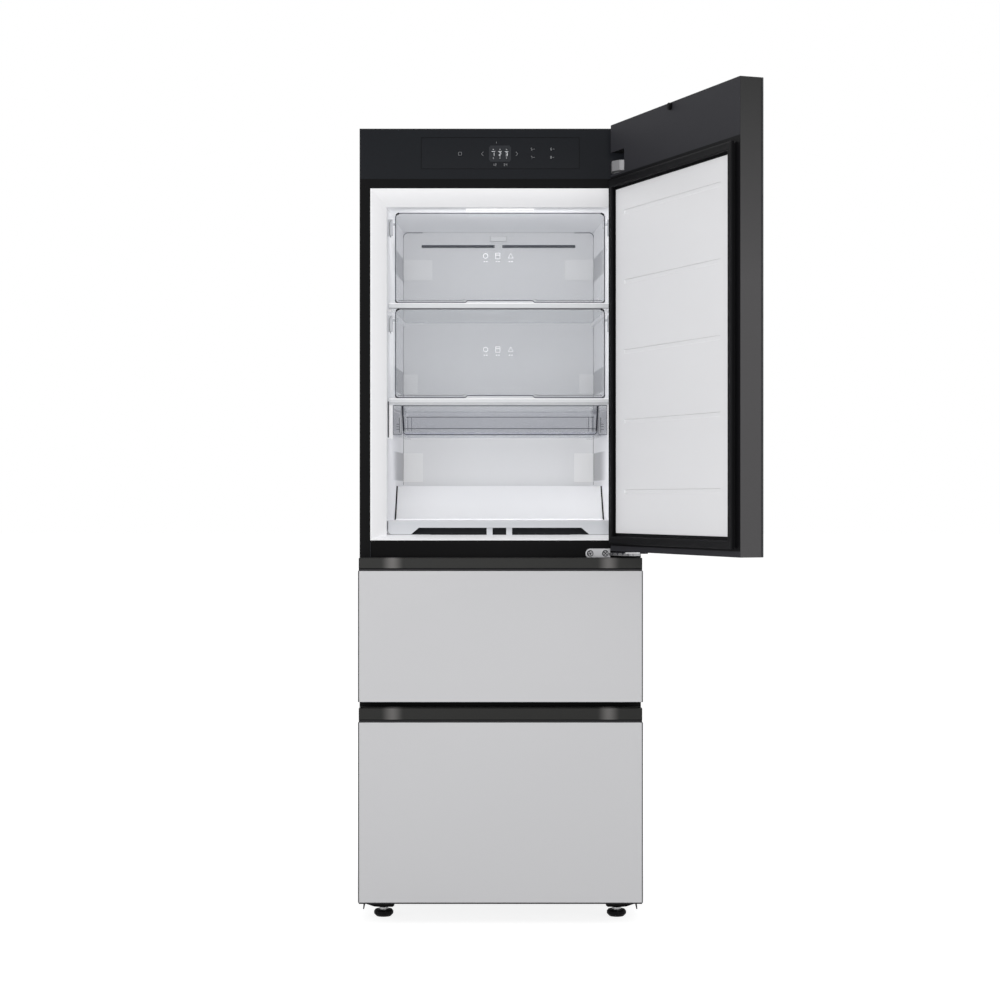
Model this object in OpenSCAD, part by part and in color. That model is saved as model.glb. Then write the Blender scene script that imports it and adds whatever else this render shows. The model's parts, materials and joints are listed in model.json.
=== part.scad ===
// Upright kimchi refrigerator: an upper compartment behind a side-hinged door, and two drawers below it.
// X runs to the viewer's right, Y to the back and Z up. The origin is on the floor, in the middle of the
// cabinet's width and in the plane of its front frame. The door is drawn open, as the rest position.

/* [Cabinet] */
// Width of the cabinet and of its door and drawer fronts
cabinet_w = 666; // [640:1:720]
// Height from the floor to the top of the cabinet
cabinet_h = 1870; // [1850:1:1940]
// Depth from the front frame to the back panel
case_d = 669; // [660:1:720]
// Thickness of the case's sheet steel
sheet_t = 1; // [0.6:0.1:2]
// Height of the base plate's underside above the floor
base_z = 43; // [40:0.5:50]
// Thickness of the base plate
base_t = 2; // [1:0.5:3]
// Thickness of the black front frame
frame_t = 3; // [2:0.5:5]
// Height of the control panel at the top of the front
control_h = 119; // [110:1:130]
// Height of the frame's strip between the control panel and the upper opening
frame_strip_h = 24.5; // [18:0.5:28]

/* [Fronts] */
// Thickness of the door's and the drawer fronts' bodies
front_t = 54; // [50:1:60]
// Space between those bodies and the front frame, which the gaskets fill
seal_space = 14; // [12:0.5:18]
// Thickness of the outer panels
panel_t = 4; // [2:0.5:6]
// Amount by which the dark bodies are narrower than the panels on each side
body_step = 1.5; // [1:0.25:3]
// Height above the floor of the lower drawer front's lower edge
fronts_z = 46; // [45:0.5:52]
// Height of the lower drawer front
lower_front_h = 458; // [450:1:470]
// Gap between the two drawer fronts
drawer_gap = 14.5; // [10:0.5:20]
// Height of the middle drawer front
middle_front_h = 337; // [330:1:345]
// Gap between the middle drawer front and the door
door_gap = 16; // [14:0.5:20]
// Gap between the door's top and the cabinet's top
door_top_gap = 0.5; // [0.5:0.5:4]
// Height of the lower front's dark edge below its panel
lower_panel_lift = 3.5; // [1:0.5:6]

/* [Handle strips] */
// Height of the middle drawer's handle strip with the shadow line under it
middle_strip_h = 30; // [26:0.5:36]
// Height of the lower drawer's handle strip with the shadow line under it
lower_strip_h = 32.5; // [28:0.5:38]
// Height of the shadow line between a strip and its panel
shadow_h = 4.5; // [3:0.5:7]
// Thickness of the strip's walls
strip_t = 4; // [3:0.5:6]
// Depth of the finger channel behind a strip
channel_d = 36; // [26:1:40]
// Recess of the strip's face behind the outer panels' face
strip_recess = 2; // [1:0.5:4]

/* [Gaskets] */
// Distance from the door's edges to its gasket
gasket_inset = 17; // [15:0.5:20]
// Width of the door's gasket
gasket_w = 18; // [14:0.5:22]
// Clearance between the closed door's gasket and the frame
door_seal_gap = 1; // [0.8:0.1:2]
// Clearance between the drawers' gaskets and the frame
drawer_seal_gap = 0.5; // [0.3:0.1:1]
// Width of the drawers' gaskets
drawer_gasket_w = 16; // [12:1:18]
// Distance from the drawers' openings to their gaskets
drawer_gasket_gap = 6; // [4:0.5:8]

/* [Upper compartment] */
// Width of the black frame beside the upper opening
frame_side_w = 27.5; // [22:0.5:30]
// Width of the flared front edge on each side
flare_w = 36; // [33:0.5:40]
// Amount by which each side wall leans in towards the back
wall_lean = 24.5; // [20:0.5:30]
// Thickness of the wall behind the compartment
rear_wall = 79; // [70:1:90]
// Depth of the flared front edge
flare_d = 20; // [16:1:24]
// Height of the opening's lower edge above the door's lower edge
opening_rise = 26; // [22:0.5:30]
// Height by which the flare rises to the compartment's floor
floor_rise = 10.5; // [8:0.5:20]
// Height by which the flare drops to the compartment's ceiling
ceiling_drop = 40; // [36:0.5:50]
// Thickness of the liners
liner_t = 2; // [1.5:0.5:3]
// Radius of the compartment's rear corners
liner_corner_r = 10; // [6:1:16]
// Radius of the air duct cover's upper corners
duct_corner_r = 12; // [6:1:20]
// Depth of the space behind the air duct cover
duct_space = 65; // [60:1:75]
// Thickness of the air duct cover
duct_t = 3; // [2:0.5:4]
// Width of each air slot in the duct cover
slot_w = 190; // [150:5:200]
// Height of the air slots
slot_h = 8; // [6:1:12]

/* [Shelves and guards] */
// Height of the lower shelf's underside above the floor, as a share of the compartment's height
lower_shelf_share = 0.3982; // [0.39:0.0001:0.41]
// Distance between the undersides of the two shelves, as a share of the compartment's height
shelf_pitch_share = 0.2967; // [0.29:0.0001:0.31]
// Height of the lower shelf's front trim
lower_trim_h = 16; // [12:1:20]
// Height of the upper shelf's front trim
upper_trim_h = 12; // [10:1:16]
// Thickness of the shelf plates
shelf_t = 5; // [4:0.5:6]
// Depth from the front plane to the shelves' front trims
trim_y = 50; // [46:1:54]
// Thickness of the front trims, from front to back
trim_t = 12; // [10:1:14]
// Distance from the shelf plates' rear edge to the duct cover
shelf_back_gap = 10; // [5:1:20]
// Height and width of the ledges that carry the shelves
ledge_h = 8; // [6:1:10]
// Distance from the guards' side edges to the compartment's front width
guard_side_gap = 19; // [18.5:0.5:24]
// Thickness of the guards
guard_t = 3; // [2.5:0.5:4]
// Radius of the guards' upper corners
guard_corner_r = 11; // [8:1:20]
// Distance from the guards' upper edge down to their pivot
guard_pivot_drop = 27; // [24:1:30]
// Distance from the guards' face back to their pivot
guard_pivot_back = 7; // [6:0.5:9]
// Gap between the ceiling and the upper guard
guard_top_gap = 9.5; // [8:0.5:12]
// Clearance between a guard and the shelf trims
guard_gap = 1; // [0.8:0.1:2]
// Radius of the guards' pivot pins
guard_pin_r = 3; // [2:0.25:4]
// Width of the finger notch in a guard's lower edge
notch_w = 168; // [140:2:180]
// Height of the finger notch
notch_h = 5; // [4:0.5:8]

/* [Clear tray] */
// Distance from the clear tray's sides to the compartment's front width
tray_side_gap = 34.5; // [33:0.5:40]
// Height of the clear tray
tray_h = 67.5; // [60:0.5:67.5]
// Distance from the clear tray's back to the air duct cover
tray_back_gap = 95; // [75:5:130]
// Wall thickness of the clear tray
tray_t = 3; // [2.5:0.5:4]
// Height of each tray runner under the shelf
runner_h = 72; // [70:1:74]
// Width of the runners' lower flange
runner_flange = 30; // [24:1:34]
// Thickness of the runners' walls
runner_t = 3; // [2:0.5:4]
// Clearance between the tray and what it slides on
tray_gap = 0.3; // [0.2:0.1:0.5]

/* [Compartment floor] */
// Height of the floor tray's top above the compartment's floor
floor_tray_h = 34; // [30:1:40]
// Depth from the front plane to the floor tray's skirt
floor_tray_y = 26; // [24:0.5:30]
// Thickness of the floor tray
floor_tray_t = 3; // [2:0.5:4]
// Height of the notch under the middle of the skirt
floor_notch_h = 17; // [10:1:18]
// Width of the notch at the compartment's floor
floor_notch_w = 427; // [400:1:440]
// Depth from the front plane to the foot of the rear step cover
step_y = 250; // [240:1:280]
// Height of the rear step cover
step_h = 84; // [70:1:100]
// Depth over which the step cover leans back
step_lean = 60; // [40:1:80]
// Thickness of the rear step cover
step_t = 3; // [2:0.5:4]

/* [Door] */
// Distance from the door's hinged edge to its pivot
pivot_inset = 25.7; // [25:0.1:28]
// Distance from the door's outer face back to its pivot
pivot_back = 11; // [10.5:0.1:12]
// Angle by which the drawn door is open
door_open = 110.5; // [0:0.5:120]
// Thickness of the door frame's walls
door_wall = 2.5; // [2:0.5:4]
// Radius of the hinge pins
hinge_pin_r = 4; // [3:0.25:4.5]
// Clearance between a pin and its bore
pin_gap = 0.06; // [0.03:0.01:0.09]
// Thickness of the round boss at the top hinge's pin
hinge_boss_wall = 2; // [1.5:0.25:2]
// Height of the hinge pocket's lower edge below the control panel's middle height
pocket_drop = 57.5; // [50:0.5:62]
// Height of the hinge pocket
pocket_h = 52; // [46:1:60]
// Width of the hinge pocket
pocket_w = 78; // [74:1:84]
// Height of the door liner's lower edge above the door's lower edge
liner_rise = 42.5; // [39:0.5:50]
// Distance from the door liner's upper edge to the door's upper edge
liner_top_drop = 156; // [152:1:170]
// Distance from the door liner's sides to the door's edges
door_liner_inset = 38; // [36:0.5:50]
// Amount by which the door liner stands proud
door_liner_proud = 3; // [2:0.5:5]
// Number of embossed lines on the door liner
line_n = 5; // [3:1:7]
// Distance between the embossed lines
line_pitch = 161.5; // [140:0.5:165]
// Height of the lowest line above the liner's lower edge
line_rise = 92; // [60:1:100]
// Radius of the peg at the door's upper edge
peg_r = 8; // [5:0.5:9]
// Length of that peg
peg_l = 6; // [4:0.5:9]

/* [Hinges] */
// Height of the top hinge's arm
arm_h = 24; // [20:1:28]
// Thickness of the top hinge's arm
arm_t = 6; // [5:0.5:7]
// Thickness of the hinges' mounting plates
plate_t = 3; // [2:0.5:3.5]
// Thickness of the bottom hinge's arm
bottom_arm_t = 6; // [4:0.5:8]
// Length of the pins inside the door
pin_l = 22; // [16:1:30]
// Distance between the bottom hinge's screws
screw_pitch = 35.5; // [30:0.5:40]
// Radius of the screw heads
screw_head_r = 7; // [5:0.5:8]
// Radius of the screw shanks
screw_r = 3; // [2:0.25:3.5]
// Length of the screw shanks behind the plates
screw_l = 20; // [12:1:30]

/* [Drawers] */
// Thickness of the walls beside the drawer compartments
drawer_wall = 58; // [55:0.5:63]
// Distance from a drawer compartment to its front's upper and lower edges
drawer_margin = 33; // [32:0.5:36]
// Thickness of the wall behind the middle compartment
middle_rear_wall = 129; // [90:1:169]
// Thickness of the wall between the lower compartment and the machine room
machine_wall = 42; // [40:1:47]
// Distance from the bins' sides to the compartments' sides
bin_side_gap = 15; // [15:0.5:25]
// Distance from the bins' backs to the lower compartment's back
bin_back_gap = 24; // [22:1:54]
// Wall thickness of the bins
bin_t = 3; // [2:0.5:5]
// Height of the bins above the compartments' floors
bin_rise = 9; // [5:1:14]
// Distance from the middle bin's rim to its compartment's ceiling
middle_bin_drop = 27; // [20:1:60]
// Distance from the lower bin's rim to its compartment's ceiling
lower_bin_drop = 29; // [20:1:60]
// Height of the middle rails' centre above the compartment's floor
middle_rail_rise = 120; // [60:1:180]
// Height of the lower rails' centre above the compartment's floor
lower_rail_rise = 190; // [60:1:300]
// Height of the slides' fixed rails
rail_h = 46; // [36:1:56]
// Distance from the slides' rails to the lower compartment's back
rail_back_gap = 12; // [8:1:32]
// Distance from the front plane to the fixed rails
rail_y = 8; // [6:1:10]
// Thickness of the rails' steel
rail_t = 1.5; // [1:0.25:2]
// Clearance between the rails of a slide
rail_gap = 0.5; // [0.3:0.1:0.8]

/* [Feet and rollers] */
// Distance of the feet and rollers from the cabinet's sides
foot_inset = 55.5; // [48:0.5:63]
// Depth from the front plane to the feet
foot_y = 40; // [36:1:60]
// Radius of the feet
foot_r = 23; // [18:0.5:26]
// Height of the feet's knobs
foot_h = 16; // [13:0.5:18]
// Number of finger grooves around each foot's knob
groove_n = 12; // [8:1:16]
// Radius of the feet's threaded stems
stem_r = 5; // [4:0.25:6]
// Radius of the rear rollers
roller_r = 18; // [14:0.5:20]
// Width of the rear rollers
roller_w = 14; // [10:1:18]
// Distance from the back panel to the rollers' axle
roller_back = 49; // [40:1:60]
// Radius of the rollers' axles
axle_r = 4; // [3:0.25:5]

/* [Machine room] */
// Depth of the machine room
machine_d = 186; // [180:1:186]
// Height of the machine room
machine_h = 255; // [250:1:300]
// Radius of the compressor
compressor_r = 70; // [60:1:75]
// Height of the compressor's shell
compressor_h = 165; // [140:1:170]
// Radius of the fans
fan_r = 62; // [50:1:65]
// Number of blades on each fan
blade_n = 5; // [3:1:7]
// Number of fins on the condenser
condenser_fin_n = 14; // [8:1:20]
// Number of fins on the evaporator
evaporator_fin_n = 16; // [8:1:24]

/* [Hidden] */
$fn = 48;

// Cut pieces reach past the faces that they cut by this much
over = 1;
half_w = cabinet_w / 2;
inner_half = half_w - sheet_t;
body_half = half_w - body_step;
foam_z = base_z + base_t;
foam_top = cabinet_h - sheet_t;
back_y = case_d - sheet_t;
control_z = cabinet_h - control_h;

// Planes of the fronts: the panels' outer face, the panels' back and the bodies' inner face
inner_y = -seal_space;
outer_y = inner_y - front_t;
panel_y = outer_y + panel_t;

// Heights of the fronts, from the lowest up
lower_top_z = fronts_z + lower_front_h;
middle_z = lower_top_z + drawer_gap;
middle_top_z = middle_z + middle_front_h;
door_z = middle_top_z + door_gap;
door_top_z = cabinet_h - door_top_gap;

// Upper compartment
opening_w = cabinet_w - 2 * frame_side_w;
liner_w = opening_w - 2 * flare_w;
liner_back_w = liner_w - 2 * wall_lean;
liner_d = case_d - rear_wall;
duct_y = liner_d - duct_space;
opening_z = door_z + opening_rise;
opening_top_z = control_z - frame_strip_h;
floor_z = opening_z + floor_rise;
ceiling_z = opening_top_z - ceiling_drop;
compartment_h = ceiling_z - floor_z;
lower_shelf_z = floor_z + lower_shelf_share * compartment_h;
upper_shelf_z = lower_shelf_z + shelf_pitch_share * compartment_h;
trim_back_y = trim_y + trim_t;
shelf_back_y = duct_y - shelf_back_gap;
wall_gap = 1;

// Drawer compartments
lower_floor_z = fronts_z + drawer_margin;
lower_ceiling_z = lower_top_z - drawer_margin;
middle_floor_z = middle_z + drawer_margin;
middle_ceiling_z = middle_top_z - drawer_margin;
drawer_half = half_w - drawer_wall;
middle_liner_d = case_d - middle_rear_wall;

// Guards
guard_y = trim_y + 3;
guard_pivot_y = guard_y + guard_pivot_back;
upper_guard_z = upper_shelf_z + upper_trim_h + guard_gap;
upper_guard_top = ceiling_z - guard_top_gap;
lower_guard_z = lower_shelf_z + lower_trim_h + guard_gap;
lower_guard_top = upper_shelf_z - guard_gap;
guard_half = liner_w / 2 - guard_side_gap;
bracket_x = guard_half + 6.5;
bracket_h = 43;
bracket_d = 14;

// Clear tray
runner_z = lower_shelf_z - runner_h;
tray_z = runner_z + runner_t + tray_gap;
tray_half = liner_w / 2 - tray_side_gap;
tray_l = duct_y - tray_back_gap - trim_y;
runner_outer_x = tray_half + 21;
runner_back_y = trim_y + tray_l + 40;

// Door
pivot_x = half_w - pivot_inset;
pivot_y = outer_y + pivot_back;
liner_z = door_z + liner_rise;
liner_top_z = door_top_z - liner_top_drop;
pocket_z = control_z + control_h / 2 - pocket_drop;
arm_z = pocket_z + 10;
boss_r = hinge_pin_r + hinge_boss_wall;
bush_r = hinge_pin_r + 2.5;
door_gasket_top = control_z - 14;

// Drawer slides, from the wall inwards
rail_x = drawer_half;
slide_x = rail_x - rail_t - rail_gap;
bin_rail_x = slide_x - rail_t - rail_gap;
bin_half = drawer_half - bin_side_gap;
slide_h = rail_h - 2 * rail_t - 2 * rail_gap;
bin_rail_h = slide_h - 2 * rail_t - 2 * rail_gap;
rail_inner_x = bin_half + 1;

// Machine room, and what ends in front of it
machine_y = back_y - machine_d;
machine_top_z = foam_z + machine_h;
lower_liner_d = machine_y - machine_wall;
bin_l = lower_liner_d - bin_back_gap - inner_y;
rail_l = lower_liner_d - rail_back_gap - rail_y;
foot_x = half_w - foot_inset;
roller_y = case_d - roller_back;

// ---------- helpers ----------

// A block between two opposite corners
module block(low, high) {
    translate(low) cube(high - low);
}

// The same piece on the right and, mirrored, on the left
module both_sides() {
    children();
    mirror([1, 0, 0]) children();
}

// Turns a profile drawn in Y and Z into a bar from x0 to x1
module bar_along_x(x0, x1) {
    translate([x0, 0, 0]) rotate([90, 0, 90]) linear_extrude(x1 - x0) children();
}

// Turns a profile drawn in X and Z into a bar from y0 to y1
module bar_along_y(y0, y1) {
    translate([0, y1, 0]) rotate([90, 0, 0]) linear_extrude(y1 - y0) children();
}

// Half width of the upper compartment at a depth behind the flare
function wall_x(y) = liner_w / 2 - (liner_w - liner_back_w) / 2 * (y - flare_d) / (liner_d - flare_d);

// Half of the upper compartment's plan, grown by g, from the front to the back
function half_plan(g) = concat(
    [[opening_w / 2 + g, -over], [opening_w / 2 + g, 0], [liner_w / 2 + g, flare_d]],
    [for (a = [0:30:90])
        [liner_back_w / 2 + g - liner_corner_r * (1 - cos(a)),
         liner_d + g - liner_corner_r * (1 - sin(a))]]
);

function mirrored(points) = [for (i = [len(points) - 1:-1:0]) [-points[i].x, points[i].y]];

// Space of the upper compartment, grown by g
module upper_space(g) {
    intersection() {
        translate([0, 0, opening_z - g])
            linear_extrude(opening_top_z - opening_z + 2 * g)
                polygon(concat(half_plan(g), mirrored(half_plan(g))));
        bar_along_x(-opening_w, opening_w)
            polygon([
                [-over, opening_z - g], [0, opening_z - g], [flare_d, floor_z - g],
                [liner_d + g, floor_z - g], [liner_d + g, ceiling_z + g],
                [flare_d, ceiling_z + g], [0, opening_top_z + g], [-over, opening_top_z + g]
            ]);
    }
}

// A box-shaped drawer compartment, grown by g
module drawer_space(z0, z1, depth, g) {
    block([-drawer_half - g, -over, z0 - g], [drawer_half + g, depth + g, z1 + g]);
}

// Cuts away what stands in front of the front plane
module behind_front() {
    difference() {
        children();
        block([-cabinet_w, -2 * over, 0], [cabinet_w, 0, cabinet_h]);
    }
}

// Puts a piece of the closed door at the drawn opening angle
module at_door() {
    translate([pivot_x, pivot_y, 0])
        rotate([0, 0, door_open])
            translate([-pivot_x, -pivot_y, 0])
                children();
}

bottom_screw_in = 58.5;
top_screws_in = [30, 12];
function bottom_screw_x() = [pivot_x - bottom_screw_in - screw_pitch, pivot_x - bottom_screw_in];
function top_screw_x() = [for (d = top_screws_in) pivot_x - d];
bottom_screw_drop = 7;
bottom_screw_z = door_z - bottom_screw_drop;
top_screw_z = arm_z + arm_h / 2;

// Shanks of the hinge screws, grown by g
module shanks(g) {
    for (x = bottom_screw_x())
        translate([x, screw_l, bottom_screw_z]) rotate([90, 0, 0]) cylinder(r = screw_r + g, h = screw_l + plate_t);
    for (x = top_screw_x())
        translate([x, screw_l, top_screw_z]) rotate([90, 0, 0]) cylinder(r = screw_r + g, h = screw_l + plate_t);
}

// ---------- cabinet ----------

module outer_case() color("dimgray")
    difference() {
        block([-half_w, 0, base_z], [half_w, back_y, cabinet_h]);
        block([-inner_half, -over, base_z - over], [inner_half, case_d, foam_top]);
    }

module back_panel() color("gray")
    block([-half_w, back_y, machine_top_z], [half_w, case_d, cabinet_h]);

ear_t = 3;
ear_x = roller_w / 2 + 0.5;
lug_w = 5;
lug_h = 21;
lug_inset = 9;
lug_lean = 2;

module base_plate() color("silver") {
    difference() {
        union() {
            block([-inner_half, 0, base_z], [inner_half, back_y, foam_z]);
            both_sides() {
                for (side = [-1, 1])
                    bar_along_x(foot_x + side * (ear_x + ear_t / 2) - ear_t / 2,
                                foot_x + side * (ear_x + ear_t / 2) + ear_t / 2)
                        polygon([
                            [roller_y - 16, base_z], [roller_y + 16, base_z],
                            [roller_y + 8, roller_r - 7], [roller_y - 8, roller_r - 7]
                        ]);
                // Sheet lug in front of each foot, which leans out and narrows downwards
                bar_along_y(4, 14) translate([inner_half - lug_inset, 0]) polygon([
                    [-lug_w, base_z], [0, base_z], [lug_lean, base_z - lug_h], [lug_lean - lug_w / 2, base_z - lug_h]
                ]);
            }
        }
        both_sides() translate([foot_x, foot_y, base_z - over]) cylinder(r = stem_r + 2, h = base_t + 2 * over);
    }
    both_sides() translate([foot_x - ear_x - ear_t, roller_y, roller_r])
        rotate([0, 90, 0]) cylinder(r = axle_r, h = 2 * (ear_x + ear_t));
}

stem_space = 24;
stem_up = 14;

module insulation() color("khaki")
    difference() {
        block([-inner_half, frame_t, foam_z], [inner_half, back_y, foam_top]);
        upper_space(liner_t);
        drawer_space(middle_floor_z, middle_ceiling_z, middle_liner_d, liner_t);
        drawer_space(lower_floor_z, lower_ceiling_z, lower_liner_d, liner_t);
        block([-half_w, machine_y, base_z], [half_w, case_d, machine_top_z]);
        block([-board_half, frame_t - over, board_z], [board_half, board_space_y, board_top_z]);
        shanks(pin_gap);
        both_sides() translate([foot_x, foot_y, foam_z - over]) cylinder(r = stem_r + 2, h = stem_space);
    }

module upper_liner() color("whitesmoke") {
    behind_front() difference() {
        upper_space(liner_t);
        upper_space(0);
    }
    for (z = [lower_shelf_z, upper_shelf_z]) shelf_ledges(z);
}

// Ledges along both side walls, which carry a shelf whose underside is at z
module shelf_ledges(z) {
    translate([0, 0, z - ledge_h]) linear_extrude(ledge_h)
        both_sides() polygon([
            [wall_x(trim_back_y) - ledge_h, trim_back_y], [wall_x(trim_back_y) + wall_gap, trim_back_y],
            [wall_x(shelf_back_y) + wall_gap, shelf_back_y], [wall_x(shelf_back_y) - ledge_h, shelf_back_y]
        ]);
}

module drawer_liner(z0, z1, depth) {
    behind_front() difference() {
        drawer_space(z0, z1, depth, liner_t);
        drawer_space(z0, z1, depth, 0);
    }
}

module middle_liner() color("whitesmoke") drawer_liner(middle_floor_z, middle_ceiling_z, middle_liner_d);

module lower_liner() color("whitesmoke") drawer_liner(lower_floor_z, lower_ceiling_z, lower_liner_d);

module front_frame() color([0.1, 0.1, 0.11])
    difference() {
        block([-inner_half, 0, foam_z], [inner_half, frame_t, control_z]);
        upper_space(liner_t);
        drawer_space(middle_floor_z, middle_ceiling_z, middle_liner_d, liner_t);
        drawer_space(lower_floor_z, lower_ceiling_z, lower_liner_d, liner_t);
        shanks(pin_gap);
    }

display_half = 187;
display_rise = 24;
display_h = 74;
display_low_z = control_z + display_rise;
display_top_z = display_low_z + display_h;
glass_t = 1.5;
board_inset = 17;
board_drop = 4;
board_half = display_half - board_inset;
board_z = display_low_z + board_drop;
board_top_z = display_top_z - board_drop;
board_t = 1.6;
board_back = 6;
board_y = frame_t + board_back;
board_space_y = board_y + 22;
board_post_r = 4;
board_post_in = 12;
chip_n = 5;
chip_w = 24;
chip_h = 16;
chip_t = 6;

module control_panel() color([0.16, 0.17, 0.18]) {
    difference() {
        block([-inner_half, 0, control_z], [inner_half, frame_t, foam_top]);
        block([-display_half - tray_gap, -over, display_low_z - tray_gap],
              [display_half + tray_gap, glass_t, display_top_z + tray_gap]);
        shanks(pin_gap);
    }
    for (sx = [-1, 1], z = [board_z + board_post_in, board_top_z - board_post_in])
        translate([sx * (board_half - board_post_in), board_y, z]) rotate([90, 0, 0])
            cylinder(r = board_post_r, h = board_back + 0.5);
}

module display_glass() color([0.2, 0.21, 0.22])
    block([-display_half, 0, display_low_z], [display_half, glass_t, display_top_z]);

module control_board() color("seagreen") {
    chip_pitch = (board_half - chip_w) / (chip_n - 1) * 1.5;
    block([-board_half + board_drop, board_y, board_z + board_drop],
          [board_half - board_drop, board_y + board_t, board_top_z - board_drop]);
    for (i = [0:chip_n - 1])
        translate([(i - (chip_n - 1) / 2) * chip_pitch - chip_w / 2, board_y + board_t - 0.2,
                   (board_z + board_top_z - chip_h) / 2])
            cube([chip_w, chip_t, chip_h]);
}

slot_inner_x = 10;
slot_drop = 32.5;
pad_t = 3;
duct_half = wall_x(duct_y) - wall_gap;

return_half = duct_half - 67;
upper_pad_w = 75;
upper_pad_drop = 124;
upper_pad_h = 52;
middle_pad_w = 37;
middle_pad_rise = 49;
middle_pad_h = 50;
lower_pad_w = 50;
lower_pad_drop = 180;
lower_pad_h = 74;
clip_h = 16;
clip_t = 5;
clip_drop = 7;

module duct_cover() color("whitesmoke") {
    difference() {
        union() {
            bar_along_y(duct_y, duct_y + duct_t) duct_outline();
            both_sides() {
                block([duct_half - liner_corner_r - 6, duct_y, floor_z],
                      [duct_half - liner_corner_r - 3, liner_d, ceiling_z - duct_corner_r]);
                duct_pad(upper_pad_w, ceiling_z - upper_pad_drop, upper_pad_h);
                duct_pad(middle_pad_w, lower_shelf_z + middle_pad_rise, middle_pad_h);
                duct_pad(lower_pad_w, lower_shelf_z - lower_pad_drop, lower_pad_h);
            }
        }
        both_sides() block([slot_inner_x, duct_y - over, ceiling_z - slot_drop - slot_h],
                           [slot_inner_x + slot_w, duct_y + duct_t + over, ceiling_z - slot_drop]);
        // Return opening behind the step cover
        block([-return_half, duct_y - over, floor_z + 12],
              [return_half, duct_y + duct_t + over, floor_z + step_h / 2]);
    }
    // Clip under the ceiling
    bar_along_y(duct_y - clip_t, duct_y) translate([0, ceiling_z - clip_drop])
        polygon([[-24, 0], [24, 0], [20, -clip_h], [-20, -clip_h]]);
}

module duct_outline() {
    top = ceiling_z - wall_gap;
    translate([-duct_half, floor_z]) square([2 * duct_half, top - duct_corner_r - floor_z]);
    translate([-duct_half + duct_corner_r, floor_z]) square([2 * (duct_half - duct_corner_r), top - floor_z]);
    for (side = [-1, 1]) translate([side * (duct_half - duct_corner_r), top - duct_corner_r])
        circle(r = duct_corner_r);
}

// A raised pad of width w on the duct cover, out to the cover's edge
module duct_pad(w, z, h) {
    block([duct_half - w, duct_y - pad_t, z], [duct_half, duct_y, z + h]);
}

evaporator_half = duct_half - 47;
evaporator_rise = 180;
evaporator_z = floor_z + evaporator_rise;
evaporator_share = 0.71;
evaporator_d = 46;
fin_t = 1;
tube_r = 4;

module evaporator() color("silver") {
    fin_pitch = (2 * evaporator_half - fin_t) / (evaporator_fin_n - 1);
    for (i = [0:evaporator_fin_n - 1])
        translate([-evaporator_half + i * fin_pitch, liner_d - evaporator_d, evaporator_z])
            cube([fin_t, evaporator_d, evaporator_h]);
    for (z = [30:50:evaporator_h - 20])
        translate([-evaporator_half - 12, liner_d - evaporator_d / 2, evaporator_z + z])
            rotate([0, 90, 0]) cylinder(r = tube_r, h = 2 * evaporator_half + 24);
    both_sides() block([evaporator_half + 12 - tube_r, liner_d - evaporator_d / 2 - 3, evaporator_z + 26],
                       [evaporator_half + 12, liner_d - evaporator_d / 2 + 3, evaporator_z + evaporator_h - 26]);
}

motor_r = 24;
motor_l = 20;
shaft_r = 3;
shaft_l = 22;
evaporator_fan_drop = 170;
evaporator_fan_z = ceiling_z - evaporator_fan_drop;
evaporator_h = evaporator_share * (evaporator_fan_z - fan_r - evaporator_z);
condenser_fan_x = -40;
condenser_fan_y = machine_y + machine_d / 2 - 10;
condenser_fan_rise = 95;
condenser_fan_z = foam_z + condenser_fan_rise;
bracket_t = 3;

// A fan motor at the origin with its shaft along +Z
module fan_motor() {
    cylinder(r = motor_r, h = motor_l);
    translate([0, 0, motor_l - 0.5]) cylinder(r = shaft_r, h = shaft_l + 0.5);
}

module fan_motors() color("darkgray") {
    translate([0, liner_d, evaporator_fan_z]) rotate([90, 0, 0]) fan_motor();
    block([-motor_r - 30, liner_d - bracket_t, evaporator_fan_z - 12],
          [motor_r + 30, liner_d, evaporator_fan_z + 12]);
    translate([condenser_fan_x, condenser_fan_y, condenser_fan_z]) rotate([0, -90, 0]) fan_motor();
    block([condenser_fan_x - bracket_t, condenser_fan_y - 16, foam_z],
          [condenser_fan_x, condenser_fan_y + 16, condenser_fan_z]);
}

// A fan at the origin: hub bored for the motor shaft, blades set at an angle
hub_r = 14;
hub_l = 16;
blade_t = 2;
blade_w = 26;
blade_angle = 32;

module fan() {
    difference() {
        union() {
            cylinder(r = hub_r, h = hub_l);
            for (i = [0:blade_n - 1]) rotate([0, 0, i * 360 / blade_n])
                translate([hub_r - 3, 0, hub_l / 2]) rotate([blade_angle, 0, 0])
                    translate([0, -blade_w / 2, -blade_t / 2]) cube([fan_r - hub_r + 3, blade_w, blade_t]);
        }
        translate([0, 0, -over]) cylinder(r = shaft_r + pin_gap, h = hub_l + 2 * over);
    }
}

fan_offset = motor_l + 4;

module evaporator_fan() color("ivory")
    translate([0, liner_d - fan_offset, evaporator_fan_z]) rotate([90, 0, 0]) fan();

module condenser_fan() color("dimgray")
    translate([condenser_fan_x - fan_offset, condenser_fan_y, condenser_fan_z]) rotate([0, -90, 0]) fan();

lamp_half = 81;
lamp_y = 48;
lamp_d = 82;
lamp_t = 4;

module ceiling_lamp() color("white")
    block([-lamp_half, lamp_y, ceiling_z - lamp_t], [lamp_half, lamp_y + lamp_d, ceiling_z]);

module shelf_plates() color([0.85, 0.88, 0.9])
    for (z = [lower_shelf_z, upper_shelf_z])
        translate([0, 0, z]) linear_extrude(shelf_t) polygon([
            [wall_x(trim_back_y) - wall_gap, trim_back_y], [wall_x(shelf_back_y) - wall_gap, shelf_back_y],
            [-wall_x(shelf_back_y) + wall_gap, shelf_back_y], [-wall_x(trim_back_y) + wall_gap, trim_back_y]
        ]);

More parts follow.
